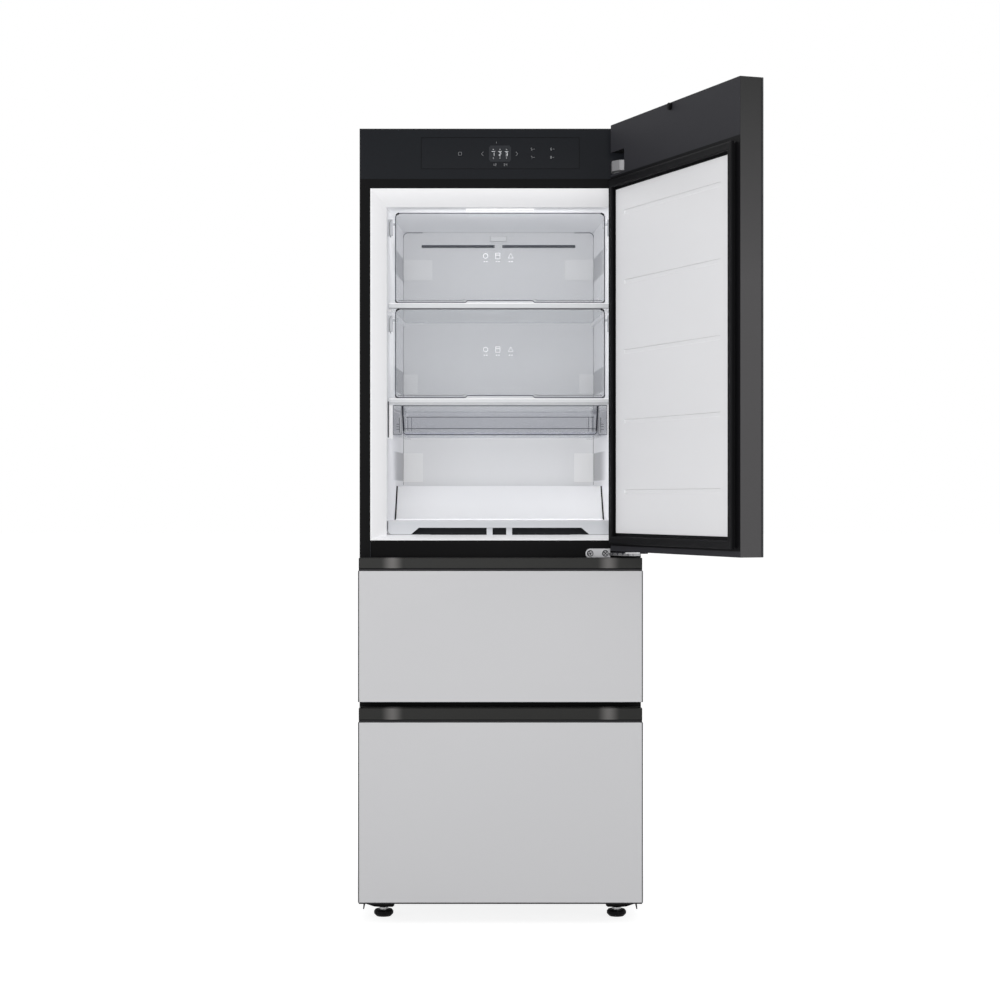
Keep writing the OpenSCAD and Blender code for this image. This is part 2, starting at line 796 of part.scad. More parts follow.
module shelf_trims() color("white") {
    shelf_trim(lower_shelf_z, lower_trim_h);
    shelf_trim(upper_shelf_z, upper_trim_h);
}

module shelf_trim(z, h) {
    trim_half = wall_x(trim_back_y) - wall_gap;
    block([-trim_half, trim_y, z], [trim_half, trim_back_y, z + h]);
}

// Pieces on the side walls run out to the liner, whose inner face trims them
module to_wall() {
    intersection() {
        children();
        upper_space(0);
    }
}

module wall_brackets() color("gainsboro") {
    both_sides() to_wall() {
        guard_bracket(upper_guard_top - guard_pivot_drop);
        guard_bracket(lower_guard_top - guard_pivot_drop);
    }
    both_sides() to_wall() block([runner_outer_x + tray_gap, trim_y, runner_z - 8],
                                 [half_w, trim_back_y - wall_gap, lower_shelf_z - tray_gap]);
}

// A bracket with the bore for a guard's pivot pin, centred on the pivot's height
module guard_bracket(z) {
    difference() {
        block([bracket_x, guard_pivot_y - bracket_d / 2, z - bracket_h / 2 - 6],
              [half_w, guard_pivot_y + bracket_d / 2, z + bracket_h / 2 - 10]);
        translate([guard_half, guard_pivot_y, z]) rotate([0, 90, 0])
            cylinder(r = guard_pin_r + pin_gap, h = guard_pin_l + tray_gap);
    }
}

guard_pin_l = 12;

// A guard between two heights, with its ears and pivot pins
module guard(z0, z1) {
    pivot_z = z1 - guard_pivot_drop;
    difference() {
        bar_along_y(guard_y, guard_y + guard_t) guard_outline(z0, z1);
        block([-notch_w / 2, guard_y - over, z0 - over], [notch_w / 2, guard_y + guard_t + over, z0 + notch_h]);
    }
    both_sides() {
        block([guard_half - 5, guard_y, pivot_z - 8], [guard_half, guard_pivot_y + 5, pivot_z + 8]);
        translate([guard_half - 1, guard_pivot_y, pivot_z]) rotate([0, 90, 0])
            cylinder(r = guard_pin_r, h = guard_pin_l + 1);
    }
}

module guard_outline(z0, z1) {
    translate([-guard_half, z0]) square([2 * guard_half, z1 - z0 - guard_corner_r]);
    translate([-guard_half + guard_corner_r, z0]) square([2 * (guard_half - guard_corner_r), z1 - z0]);
    for (side = [-1, 1]) translate([side * (guard_half - guard_corner_r), z1 - guard_corner_r])
        circle(r = guard_corner_r);
}

module upper_guard() color([0.75, 0.77, 0.8]) guard(upper_guard_z, upper_guard_top);

module lower_guard() color([0.75, 0.77, 0.8]) guard(lower_guard_z, lower_guard_top);

// Plan of a runner, whose outer wall stays inside the shelf's ledge; t moves it in from there
module runner_plan(t) {
    inner_x = runner_outer_x - runner_flange - t;
    polygon([
        [inner_x, trim_y - t], [runner_outer_x - t, trim_y - t],
        [wall_x(runner_back_y) - ledge_h - wall_gap - t, runner_back_y + t], [inner_x, runner_back_y + t]
    ]);
}

module tray_runners() color([0.8, 0.84, 0.88])
    both_sides() difference() {
        translate([0, 0, runner_z]) linear_extrude(runner_h) runner_plan(0);
        translate([0, 0, runner_z + runner_t]) linear_extrude(runner_h - 2 * runner_t) runner_plan(runner_t);
        // The upper flange stops short of the tray's side
        block([0, trim_y - 1, runner_z + runner_t], [tray_half + tray_gap, runner_back_y + 1, lower_shelf_z + over]);
    }

tray_lip_half = runner_outer_x - runner_flange - 0.5;

module clear_tray() color([0.7, 0.75, 0.82]) {
    difference() {
        block([-tray_half, trim_y, tray_z], [tray_half, trim_y + tray_l, tray_z + tray_h]);
        block([-tray_half + tray_t, trim_y + tray_t, tray_z + tray_t],
              [tray_half - tray_t, trim_y + tray_l - tray_t, tray_z + tray_h + over]);
    }
    // Lip of the front, which hangs between the runners' lower flanges
    bar_along_y(trim_y, trim_y + tray_t) polygon([
        [-tray_lip_half, tray_z + over], [tray_lip_half, tray_z + over],
        [tray_lip_half - runner_t, tray_z - runner_t], [-tray_lip_half + runner_t, tray_z - runner_t]
    ]);
    // Pull ridge along the front
    block([-tray_half + 6, trim_y - 4, tray_z + 12], [tray_half - 6, trim_y, tray_z + 40]);
}

floor_tray_top = floor_z + floor_tray_h;
notch_slope = 20;
skirt_corner_r = 10;
post_y = floor_tray_y + 6;
post_w = 14;

// Points of a quarter turn round (x, z), clockwise from the angle start
function quarter(x, z, r, start) = [for (i = [0:5]) [x + r * cos(start - 18 * i), z + r * sin(start - 18 * i)]];

module floor_tray() color("gainsboro") {
    to_wall() translate([0, 0, floor_tray_top - floor_tray_t]) linear_extrude(floor_tray_t) polygon([
        [wall_x(floor_tray_y) - wall_gap, floor_tray_y], [wall_x(step_y) - wall_gap, step_y],
        [-wall_x(step_y) + wall_gap, step_y], [-wall_x(floor_tray_y) + wall_gap, floor_tray_y]
    ]);
    skirt_half = wall_x(floor_tray_y + floor_tray_t) - wall_gap;
    corner_x = skirt_half - skirt_corner_r;
    corner_z = floor_z + skirt_corner_r;
    bar_along_y(floor_tray_y, floor_tray_y + floor_tray_t) polygon(concat(
        [[-skirt_half, floor_tray_top], [skirt_half, floor_tray_top]],
        quarter(corner_x, corner_z, skirt_corner_r, 0),
        [[floor_notch_w / 2, floor_z],
         [floor_notch_w / 2 - notch_slope, floor_z + floor_notch_h],
         [-floor_notch_w / 2 + notch_slope, floor_z + floor_notch_h],
         [-floor_notch_w / 2, floor_z]],
        quarter(-corner_x, corner_z, skirt_corner_r, -90)
    ));
    for (x = [-25, 21.5]) block([x - post_w / 2, post_y, floor_z], [x + post_w / 2, post_y + 8, floor_tray_top - 1]);
}

grille_y = post_y + 8;

module return_grille() color([0.15, 0.15, 0.16])
    block([-floor_notch_w / 2, grille_y, floor_z], [floor_notch_w / 2, grille_y + 3, floor_tray_top - floor_tray_t]);

module rear_step_cover() color("whitesmoke")
    to_wall() bar_along_x(-wall_x(step_y) + wall_gap + 1, wall_x(step_y) - wall_gap - 1)
        polygon([
            [step_y, floor_tray_top - floor_tray_t], [step_y + step_t, floor_tray_top - floor_tray_t],
            [step_y + step_lean + step_t, floor_tray_top + step_h - step_t],
            [duct_y - pad_t, floor_tray_top + step_h - step_t], [duct_y - pad_t, floor_tray_top + step_h],
            [step_y + step_lean, floor_tray_top + step_h]
        ]);

// ---------- hinges ----------

flange_x = pivot_x - 45;

module top_hinge() color("lightgray") {
    difference() {
        block([flange_x, -plate_t, arm_z], [pivot_x - 3, 0, arm_z + arm_h]);
        shanks(pin_gap);
    }
    translate([0, 0, arm_z]) linear_extrude(arm_h) {
        polygon([
            [flange_x, 0 - plate_t], [flange_x + arm_t, 0 - plate_t], [flange_x + arm_t, pivot_y + 20],
            [flange_x + 20, pivot_y + boss_r - 1], [pivot_x, pivot_y + boss_r - 1],
            [pivot_x, pivot_y - boss_r + 1], [flange_x + 16, pivot_y - boss_r + 1], [flange_x, pivot_y + 16]
        ]);
        translate([pivot_x, pivot_y]) circle(r = boss_r);
    }
    translate([pivot_x, pivot_y, arm_z - pin_l - 10]) cylinder(r = hinge_pin_r, h = pin_l + 11);
}

bottom_arm_z = door_z - 11.5;
plate_h = 23;
plate_z = bottom_screw_z - plate_h / 2;
plate_x0 = bottom_screw_x()[0] - plate_h / 2;
plate_x1 = bottom_screw_x()[1] + plate_h / 2;

module bottom_hinge() color("silver") {
    difference() {
        union() {
            bar_along_y(-plate_t, 0) {
                translate([plate_x0 + plate_h / 2, bottom_screw_z]) circle(d = plate_h);
                translate([plate_x0 + plate_h / 2, plate_z]) square([plate_x1 - plate_x0 - plate_h / 2, plate_h]);
            }
            translate([0, 0, bottom_arm_z]) linear_extrude(bottom_arm_t) {
                polygon([
                    [plate_x1 - 3, 0], [pivot_x + 6, 0], [pivot_x + 21, pivot_y],
                    [pivot_x + 21, pivot_y - 2], [pivot_x, pivot_y - 10], [pivot_x - 30, pivot_y + 16],
                    [plate_x1 - 3, -plate_t - 2]
                ]);
                translate([pivot_x, pivot_y]) circle(r = 10);
            }
        }
        shanks(pin_gap);
    }
    translate([pivot_x, pivot_y, bottom_arm_z]) cylinder(r = hinge_pin_r, h = bottom_arm_t + 5 + pin_l);
}

module hinge_screws() color("lightgray") {
    shanks(0);
    for (x = bottom_screw_x()) screw_head(x, bottom_screw_z);
    for (x = top_screw_x()) screw_head(x, top_screw_z);
}

screw_head_t = 3;

// A pan head with a cross recess, seated on a hinge plate
module screw_head(x, z) {
    translate([x, -plate_t, z]) rotate([90, 0, 0]) difference() {
        cylinder(r1 = screw_head_r, r2 = screw_head_r - 2, h = screw_head_t);
        for (a = [0, 90]) rotate([0, 0, a + 20])
            translate([-4, -0.8, screw_head_t - 1.5]) cube([8, 1.6, 2]);
    }
}

// ---------- feet, rollers and machine room ----------

leg_rise = 9;
leg_bracket_z = foot_h + leg_rise;
leg_half = 24;
leg_inner_w = 27;
leg_outer_w = 46;
leg_sole_w = 22;
leg_toe_h = 8;
neck_r = 9;
neck_h = 6;
groove_r = 5;

module leg_brackets() color([0.08, 0.08, 0.09])
    both_sides() difference() {
        translate([foot_x, 0, 0]) bar_along_y(foot_y - leg_half, foot_y + leg_half) polygon([
            [-leg_inner_w, base_z], [leg_outer_w, base_z], [leg_outer_w - 3, leg_bracket_z + leg_toe_h],
            [leg_sole_w, leg_bracket_z + 1], [leg_sole_w / 2, leg_bracket_z], [-leg_sole_w, leg_bracket_z],
            [-leg_inner_w + 1, leg_bracket_z + 3]
        ]);
        translate([foot_x, foot_y, leg_bracket_z - over]) cylinder(r = stem_r + pin_gap, h = base_z);
    }

module foot(x) {
    translate([x, foot_y, 0]) {
        difference() {
            rotate_extrude() polygon([
                [0, 0], [foot_r - 6, 0], [foot_r - 1, 5], [foot_r, 7], [foot_r, foot_h - 4],
                [foot_r - 3, foot_h], [0, foot_h]
            ]);
            for (i = [0:groove_n - 1]) rotate([0, 0, (i + 0.5) * 360 / groove_n])
                translate([foot_r + groove_r - 1.2, 0, 2]) cylinder(r = groove_r, h = foot_h);
        }
        rotate_extrude() polygon([
            [0, foot_h - 1], [neck_r, foot_h - 1], [neck_r, foot_h + neck_h], [stem_r, foot_h + neck_h + 2],
            [stem_r, base_z + stem_up], [0, base_z + stem_up]
        ]);
    }
}

module left_foot() color([0.1, 0.1, 0.1]) foot(-foot_x);

module right_foot() color([0.1, 0.1, 0.1]) foot(foot_x);

module rear_rollers() color([0.15, 0.15, 0.15])
    both_sides() translate([foot_x - roller_w / 2, roller_y, roller_r]) rotate([0, 90, 0]) difference() {
        cylinder(r = roller_r, h = roller_w);
        translate([0, 0, -over]) cylinder(r = axle_r + pin_gap, h = roller_w + 2 * over);
    }

plate_half_w = 90;
plate_half_d = 74;
side_space = 72;
compressor_x = inner_half - side_space - plate_half_w;
compressor_y = machine_y + machine_d / 2 + 2;
grommet_h = 12;
grommet_r = 11;
grommet_in = 14.5;
mount_t = 3;
compressor_z = grommet_h + mount_t - 0.5;

module compressor() color([0.12, 0.12, 0.13]) translate([compressor_x, compressor_y, foam_z]) {
    for (sx = [-1, 1], sy = [-1, 1])
        translate([sx * (plate_half_w - grommet_in), sy * (plate_half_d - grommet_in), 0])
            cylinder(r = grommet_r, h = grommet_h + 0.5);
    block([-plate_half_w, -plate_half_d, grommet_h], [plate_half_w, plate_half_d, grommet_h + mount_t]);
    translate([0, 0, compressor_z]) rotate_extrude() polygon([
        [0, 0], [compressor_r - 12, 0], [compressor_r, 14], [compressor_r, compressor_h - 40],
        [compressor_r - 8, compressor_h - 18], [compressor_r - 26, compressor_h - 4],
        [compressor_r - 40, compressor_h], [0, compressor_h]
    ]);
}

drip_z = foam_z + compressor_z + compressor_h;
drip_half_w = compressor_r + 10;
drip_half_d = compressor_r;
drip_h = 30;
drip_t = 3;

module drip_tray() color("gray") translate([compressor_x, compressor_y, drip_z]) difference() {
    block([-drip_half_w, -drip_half_d, 0], [drip_half_w, drip_half_d, drip_h]);
    block([-drip_half_w + drip_t, -drip_half_d + drip_t, drip_t],
          [drip_half_w - drip_t, drip_half_d - drip_t, drip_h + over]);
}

condenser_x = -inner_half + 22;
condenser_w = 180;
condenser_d = 120;
condenser_h = 150;

module condenser() color("darkslategray") translate([condenser_x, machine_y + 24, foam_z]) {
    fin_pitch = (condenser_w - fin_t) / (condenser_fin_n - 1);
    for (i = [0:condenser_fin_n - 1]) translate([i * fin_pitch, 0, 0]) cube([fin_t, condenser_d, condenser_h]);
    for (y = [20:40:100], z = [25:50:125])
        translate([-6, y, z]) rotate([0, 90, 0]) cylinder(r = tube_r, h = condenser_w + 12);
}

cover_half = inner_half - 1;
vent_pitch = 20;
vent_half = vent_pitch * floor((cover_half - 45) / vent_pitch);
vent_h = 55;
vent_z = foam_z + 60;
gland_x = 200;
gland_z = foam_z + 30;
gland_r = 9;

module machine_cover() color("gray") difference() {
    block([-cover_half, back_y, base_z], [cover_half, case_d, machine_top_z]);
    for (x = [-vent_half:vent_pitch:vent_half], z = [vent_z, vent_z + vent_h + 25])
        block([x - 3, back_y - over, z], [x + 3, case_d + over, z + vent_h]);
    translate([gland_x, back_y - over, gland_z]) rotate([-90, 0, 0]) cylinder(r = gland_r, h = 4);
}

module cord_gland() color([0.1, 0.1, 0.1]) translate([gland_x, case_d, gland_z]) rotate([-90, 0, 0])
    difference() {
        union() {
            cylinder(r = gland_r + 4, h = 5);
            translate([0, 0, -5]) cylinder(r = gland_r - 0.1, h = 6);
        }
        translate([0, 0, -8]) cylinder(r = 4, h = 16);
    }

// ---------- slides ----------

// A channel rail open towards the middle of the cabinet: web at x, lips in to x_in
module channel(x_in, x, h, z, y0, y1, t) {
    difference() {
        block([x_in, y0, z - h / 2], [x, y1, z + h / 2]);
        block([x_in - over, y0 - over, z - h / 2 + t], [x - t, y1 + over, z + h / 2 - t]);
    }
}

middle_rail_z = middle_floor_z + middle_rail_rise;
lower_rail_z = lower_floor_z + lower_rail_rise;

module fixed_rails() color("silver")
    both_sides() for (z = [middle_rail_z, lower_rail_z])
        channel(rail_inner_x, rail_x, rail_h, z, rail_y, rail_y + rail_l, rail_t);

module slide_rails(z)
    both_sides() channel(rail_inner_x + 1, slide_x, slide_h, z, rail_y + 2, rail_y + rail_l - 2, rail_t);

module middle_slide_rails() color("lightgray") slide_rails(middle_rail_z);

module lower_slide_rails() color("lightgray") slide_rails(lower_rail_z);

// The rails on a bin face the other way, with their web on the bin's side
module bin_rails(z)
    both_sides() difference() {
        block([bin_half, rail_y, z - bin_rail_h / 2], [bin_rail_x, rail_y + rail_l - 10, z + bin_rail_h / 2]);
        block([bin_half + rail_t, rail_y - over, z - bin_rail_h / 2 + rail_t],
              [bin_rail_x + over, rail_y + rail_l, z + bin_rail_h / 2 - rail_t]);
    }

module middle_bin_rails() color("silver") bin_rails(middle_rail_z);

module lower_bin_rails() color("silver") bin_rails(lower_rail_z);

// ---------- drawers ----------

module front_panel(z0, z1) block([-half_w, outer_y, z0], [half_w, panel_y, z1]);

// A strip with the finger channel behind it, from its floor up to the front's top
module handle_strip(z_floor, z_top) {
    face_y = outer_y + strip_recess;
    back = face_y + strip_t + channel_d + strip_t;
    difference() {
        block([-body_half, face_y, z_floor], [body_half, back, z_top]);
        block([-body_half + strip_t, face_y + strip_t, z_floor + strip_t],
              [body_half - strip_t, back - strip_t, z_top + over]);
    }
}

// The insulated body of a drawer front, open where the handle strip sits
module front_body(z0, z_floor, z_top) {
    back = outer_y + strip_recess + 2 * strip_t + channel_d;
    block([-body_half, panel_y, z0], [body_half, inner_y, z_floor]);
    block([-body_half, back, z0], [body_half, inner_y, z_top]);
}

module drawer_gasket(z0, z1) {
    bar_along_y(inner_y, -drawer_seal_gap) difference() {
        ring_square(drawer_half + liner_t + drawer_gasket_gap + drawer_gasket_w,
                    z0 - liner_t - drawer_gasket_gap - drawer_gasket_w,
                    z1 + liner_t + drawer_gasket_gap + drawer_gasket_w);
        ring_square(drawer_half + liner_t + drawer_gasket_gap,
                    z0 - liner_t - drawer_gasket_gap, z1 + liner_t + drawer_gasket_gap);
    }
}

module ring_square(half, z0, z1) translate([-half, z0]) square([2 * half, z1 - z0]);

module bin(z0, z1) difference() {
    block([-bin_half, inner_y, z0], [bin_half, inner_y + bin_l, z1]);
    block([-bin_half + bin_t, inner_y + bin_t, z0 + bin_t], [bin_half - bin_t, inner_y + bin_l - bin_t, z1 + over]);
}

middle_panel_top = middle_top_z - middle_strip_h;
lower_panel_top = lower_top_z - lower_strip_h;

module middle_front_panel() color("silver") front_panel(middle_z, middle_panel_top);

module middle_handle_strip() color([0.25, 0.25, 0.25]) handle_strip(middle_panel_top + shadow_h, middle_top_z);

module middle_front_body() color([0.12, 0.12, 0.13])
    front_body(middle_z, middle_panel_top + shadow_h, middle_top_z);

module middle_gasket() color([0.08, 0.08, 0.08]) drawer_gasket(middle_floor_z, middle_ceiling_z);

module middle_bin() color("white") bin(middle_floor_z + bin_rise, middle_ceiling_z - middle_bin_drop);

module lower_front_panel() color("silver") front_panel(fronts_z + lower_panel_lift, lower_panel_top);

module lower_handle_strip() color([0.25, 0.25, 0.25]) handle_strip(lower_panel_top + shadow_h, lower_top_z);

module lower_front_body() color([0.12, 0.12, 0.13])
    front_body(fronts_z, lower_panel_top + shadow_h, lower_top_z);

module lower_gasket() color([0.08, 0.08, 0.08]) drawer_gasket(lower_floor_z, lower_ceiling_z);

module lower_bin() color("white") bin(lower_floor_z + bin_rise, lower_ceiling_z - lower_bin_drop);

// ---------- door, drawn closed and then opened ----------

pocket_x = half_w - pocket_w;
pocket_top_z = pocket_z + pocket_h;
bush_z = bottom_arm_z + bottom_arm_t + 0.3;
bush_l = pin_l + 3;
door_liner_half = half_w - door_liner_inset;

module pocket_cut(g)
    block([pocket_x - g, panel_y, pocket_z - g], [half_w + over, inner_y + over, pocket_top_z + g]);

module bush_bodies()
    for (z = [bush_z, pocket_z - bush_l]) translate([pivot_x, pivot_y, z])
        cylinder(r = bush_r, h = bush_l + (z == bush_z ? door_z - bush_z : 0));

module bush_bores()
    for (z = [bush_z, pocket_z - bush_l]) translate([pivot_x, pivot_y, z - over])
        cylinder(r = hinge_pin_r + pin_gap, h = bush_l + (z == bush_z ? door_z - bush_z : 0) + 2 * over);

module door_panel() color("silver") at_door()
    block([-half_w, outer_y, door_z], [half_w, panel_y, door_top_z]);

module door_frame() color([0.2, 0.2, 0.21]) at_door() difference() {
    union() {
        difference() {
            block([-body_half, panel_y, door_z], [body_half, inner_y, door_top_z]);
            block([-body_half + door_wall, panel_y - over, door_z + door_wall],
                  [body_half - door_wall, inner_y - door_wall, door_top_z - door_wall]);
            block([-door_liner_half, inner_y - door_wall - over, liner_z], [door_liner_half, 0, liner_top_z]);
        }
        block([pocket_x - door_wall, panel_y, pocket_z - door_wall],
              [body_half, inner_y, pocket_top_z + door_wall]);
        bush_bodies();
        // Stop block under the door's lower edge
        block([pivot_x - 76, panel_y, door_z - 5], [pivot_x - 56, panel_y + 12, door_z]);
    }
    pocket_cut(0);
    bush_bores();
}

module door_foam() color("khaki") at_door() difference() {
    block([-body_half + door_wall, panel_y, door_z + door_wall],
          [body_half - door_wall, inner_y - door_wall, door_top_z - door_wall]);
    pocket_cut(door_wall);
    bush_bodies();
}

line_inset = 49;
line_half = door_liner_half - line_inset;
line_h = 9;
line_d = 1.5;

module door_liner() color("white") at_door() difference() {
    block([-door_liner_half, inner_y - door_wall, liner_z],
          [door_liner_half, inner_y + door_liner_proud, liner_top_z]);
    for (i = [0:line_n - 1])
        block([-line_half, inner_y + door_liner_proud - line_d, liner_z + line_rise + i * line_pitch],
              [line_half, inner_y + door_liner_proud + over, liner_z + line_rise + i * line_pitch + line_h]);
}

module door_gasket() color([0.08, 0.08, 0.08]) at_door()
    bar_along_y(inner_y, -door_seal_gap) difference() {
        ring_square(half_w - gasket_inset, door_z + gasket_inset, door_gasket_top);
        ring_square(half_w - gasket_inset - gasket_w, door_z + gasket_inset + gasket_w,
                    door_gasket_top - gasket_w);
    }

module door_peg() color([0.05, 0.05, 0.05]) at_door()
    translate([3, inner_y + peg_l, door_top_z - peg_r - 1]) rotate([90, 0, 0]) union() {
        cylinder(r = peg_r, h = peg_l);
        translate([0, 0, -1.5]) cylinder(r = peg_r - 3, h = 3);
    }

// ---------- output ----------

outer_case();
back_panel();
base_plate();
insulation();
upper_liner();
middle_liner();
lower_liner();
front_frame();
control_panel();
display_glass();
control_board();
duct_cover();
evaporator();
fan_motors();
ceiling_lamp();
shelf_plates();
shelf_trims();
wall_brackets();
tray_runners();
floor_tray();
return_grille();
rear_step_cover();
top_hinge();
bottom_hinge();
hinge_screws();
leg_brackets();
compressor();
condenser();
drip_tray();
machine_cover();
cord_gland();
fixed_rails();
evaporator_fan();
condenser_fan();
left_foot();
right_foot();
rear_rollers();
upper_guard();
lower_guard();
clear_tray();
door_panel();
door_frame();
door_foam();
door_liner();
door_gasket();
door_peg();
middle_front_panel();
middle_handle_strip();
middle_front_body();
middle_gasket();
middle_bin();
middle_bin_rails();
middle_slide_rails();
lower_front_panel();
lower_handle_strip();
lower_front_body();
lower_gasket();
lower_bin();
lower_bin_rails();
lower_slide_rails();
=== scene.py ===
"""Looks of an upright kimchi refrigerator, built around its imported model. All lengths are in metres."""
import json
import math

import bmesh
import bpy
from mathutils import Matrix, Vector

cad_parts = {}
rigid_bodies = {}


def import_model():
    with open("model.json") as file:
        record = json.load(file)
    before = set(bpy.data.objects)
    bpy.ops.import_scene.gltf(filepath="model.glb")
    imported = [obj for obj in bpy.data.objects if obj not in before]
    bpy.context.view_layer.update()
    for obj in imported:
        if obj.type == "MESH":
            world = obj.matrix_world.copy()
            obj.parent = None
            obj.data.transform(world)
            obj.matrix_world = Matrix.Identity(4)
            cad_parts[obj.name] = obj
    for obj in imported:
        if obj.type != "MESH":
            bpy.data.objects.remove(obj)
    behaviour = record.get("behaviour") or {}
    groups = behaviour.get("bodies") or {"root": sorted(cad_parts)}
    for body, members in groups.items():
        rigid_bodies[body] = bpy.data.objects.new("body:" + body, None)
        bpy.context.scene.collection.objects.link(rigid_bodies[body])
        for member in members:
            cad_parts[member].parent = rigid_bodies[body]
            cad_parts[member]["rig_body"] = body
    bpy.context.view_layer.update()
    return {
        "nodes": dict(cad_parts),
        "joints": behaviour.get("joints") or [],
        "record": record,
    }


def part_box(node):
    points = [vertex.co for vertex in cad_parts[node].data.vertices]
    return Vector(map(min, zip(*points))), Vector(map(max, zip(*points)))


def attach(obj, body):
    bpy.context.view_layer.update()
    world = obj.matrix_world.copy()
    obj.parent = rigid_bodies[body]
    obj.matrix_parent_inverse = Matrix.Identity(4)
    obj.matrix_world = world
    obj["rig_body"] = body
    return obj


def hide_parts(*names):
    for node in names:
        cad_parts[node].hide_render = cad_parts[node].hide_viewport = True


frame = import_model()
scene = bpy.context.scene
nodes = frame["nodes"]

# The door's hinge line, which is the first joint, and the angle at which the door stands open at rest
PIVOT = Vector(frame["joints"][0]["pos_m"])
DOOR_TURN = math.radians(110.5)
AT_DOOR = Matrix.Translation(PIVOT) @ Matrix.Rotation(DOOR_TURN, 4, "Z") @ Matrix.Translation(-PIVOT)

# Height of the floor tray's top
FLOOR_TOP = 0.942

# ---------------- camera

EYE = Vector((-0.046, -5.347, 0.991))
FOCAL_PX = 2259.0
CENTRE_PX = 480.8
FRAME_PX = 1000.0

cam_data = bpy.data.cameras.new("photo_camera")
cam_data.sensor_width = 36.0
cam_data.lens = cam_data.sensor_width * FOCAL_PX / FRAME_PX
cam_data.shift_x = (FRAME_PX / 2 - CENTRE_PX) / FRAME_PX
cam_data.clip_start = 0.05
cam = bpy.data.objects.new("photo_camera", cam_data)
cam.location = EYE
cam.rotation_euler = (math.pi / 2, 0, 0)
scene.collection.objects.link(cam)
scene.camera = cam
scene.view_settings.view_transform = "Standard"


def from_photo(px, py, y):
    """The point at depth y that the photograph shows at (px, py)."""
    scale = (y - EYE.y) / FOCAL_PX
    return Vector((EYE.x + (px - CENTRE_PX) * scale, y, EYE.z - (py - FRAME_PX / 2) * scale))


# ---------------- node helpers

def add(tree, kind, inputs=None, **settings):
    node = tree.nodes.new(kind)
    for key, value in settings.items():
        setattr(node, key, value)
    for key, value in (inputs or {}).items():
        if isinstance(value, bpy.types.NodeSocket):
            tree.links.new(value, node.inputs[key])
        else:
            node.inputs[key].default_value = value
    return node


def result(tree, kind, inputs=None, **settings):
    """The first output of a new node."""
    return add(tree, kind, inputs, **settings).outputs[0]


def math_node(tree, operation, a, b=0.0):
    return result(tree, "ShaderNodeMath", {0: a, 1: b}, operation=operation)


def ramp(tree, value, low, high, to_low=0.0, to_high=1.0, smooth=False):
    inputs = {"Value": value, "From Min": low, "From Max": high, "To Min": to_low, "To Max": to_high}
    kind = "SMOOTHSTEP" if smooth else "LINEAR"
    return result(tree, "ShaderNodeMapRange", inputs, interpolation_type=kind)


def noise(tree, point, scale, detail=2.0):
    return result(tree, "ShaderNodeTexNoise", {"Vector": point, "Scale": scale, "Detail": detail})


def mix(tree, factor, a, b):
    node = add(tree, "ShaderNodeMix", data_type="RGBA")
    for socket, value in zip((node.inputs[0], node.inputs[6], node.inputs[7]), (factor, a, b)):
        if isinstance(value, bpy.types.NodeSocket):
            tree.links.new(value, socket)
        else:
            socket.default_value = value
    return node.outputs[2]


def rgba(colour, gain=1.0):
    return (*(min(1.0, c * gain) for c in colour), 1.0)


def srgb(r, g, b):
    """A colour as seen on screen, 0 to 255, as linear light."""
    return tuple((v / 255 / 12.92) if v <= 10 else ((v / 255 + 0.055) / 1.055) ** 2.4 for v in (r, g, b))


def paint(r, g, b):
    return rgba(srgb(r, g, b))


def new_tree(name):
    material = bpy.data.materials.new(name)
    material.use_nodes = True
    material.node_tree.nodes.clear()
    return material, material.node_tree


NOISE_LOW, NOISE_HIGH = 0.3, 0.7
GLOSS_SPREAD = 0.12
GRAIN_DEPTH = 0.0003


def finish(name, colour, rough, metal=0.0, vary=0.05, grain=700.0, bump=0.1, stretch=(1, 1, 1),
           specular=0.5, alpha=1.0, slow=3.0, tint=None, glow=0.0):
    """A surface with fine grain, slow colour drift and uneven gloss. Its colour runs from 0 to 255.

    tint(tree, shade, point) may paint it further, and alpha may be a function of (tree, point).
    """
    material, tree = new_tree(name)
    point = add(tree, "ShaderNodeTexCoord").outputs["Object"]
    drawn = result(tree, "ShaderNodeMapping", {"Vector": point, "Scale": stretch})
    fine = noise(tree, drawn, grain, 3.0)
    blend = math_node(tree, "MULTIPLY", math_node(tree, "ADD", fine, noise(tree, point, slow)), 0.5)
    wander = ramp(tree, blend, NOISE_LOW, NOISE_HIGH)
    base = srgb(*colour)
    shade = mix(tree, wander, rgba(base, 1 - vary), rgba(base, 1 + vary))
    if tint:
        shade = tint(tree, shade, point)
    gloss = ramp(tree, wander, 0.0, 1.0, rough * (1 - GLOSS_SPREAD), rough * (1 + GLOSS_SPREAD))
    relief = result(tree, "ShaderNodeBump", {"Height": fine, "Strength": bump, "Distance": GRAIN_DEPTH})
    shader = add(tree, "ShaderNodeBsdfPrincipled", {
        "Base Color": shade, "Roughness": gloss, "Metallic": metal, "Normal": relief,
        "Specular IOR Level": specular, "Alpha": alpha(tree, point) if callable(alpha) else alpha,
    })
    if glow:
        tree.links.new(shade, shader.inputs["Emission Color"])
        shader.inputs["Emission Strength"].default_value = glow
    out = add(tree, "ShaderNodeOutputMaterial")
    tree.links.new(shader.outputs[0], out.inputs[0])
    return material


# ---------------- light and floor

WORLD_LEVEL = 0.66
FLOOR_GLOW = 0.84
FLOOR_GREYS = (0.30, 0.32)
FLOOR_HALF = 60.0


def seen_rays(tree):
    """1 for what the camera sees, also mirrored or through glass, and 0 for scattered light."""
    rays = add(tree, "ShaderNodeLightPath").outputs
    indirect = math_node(tree, "MAXIMUM", rays["Is Glossy Ray"], rays["Is Transmission Ray"])
    return math_node(tree, "MAXIMUM", rays["Is Camera Ray"], indirect)


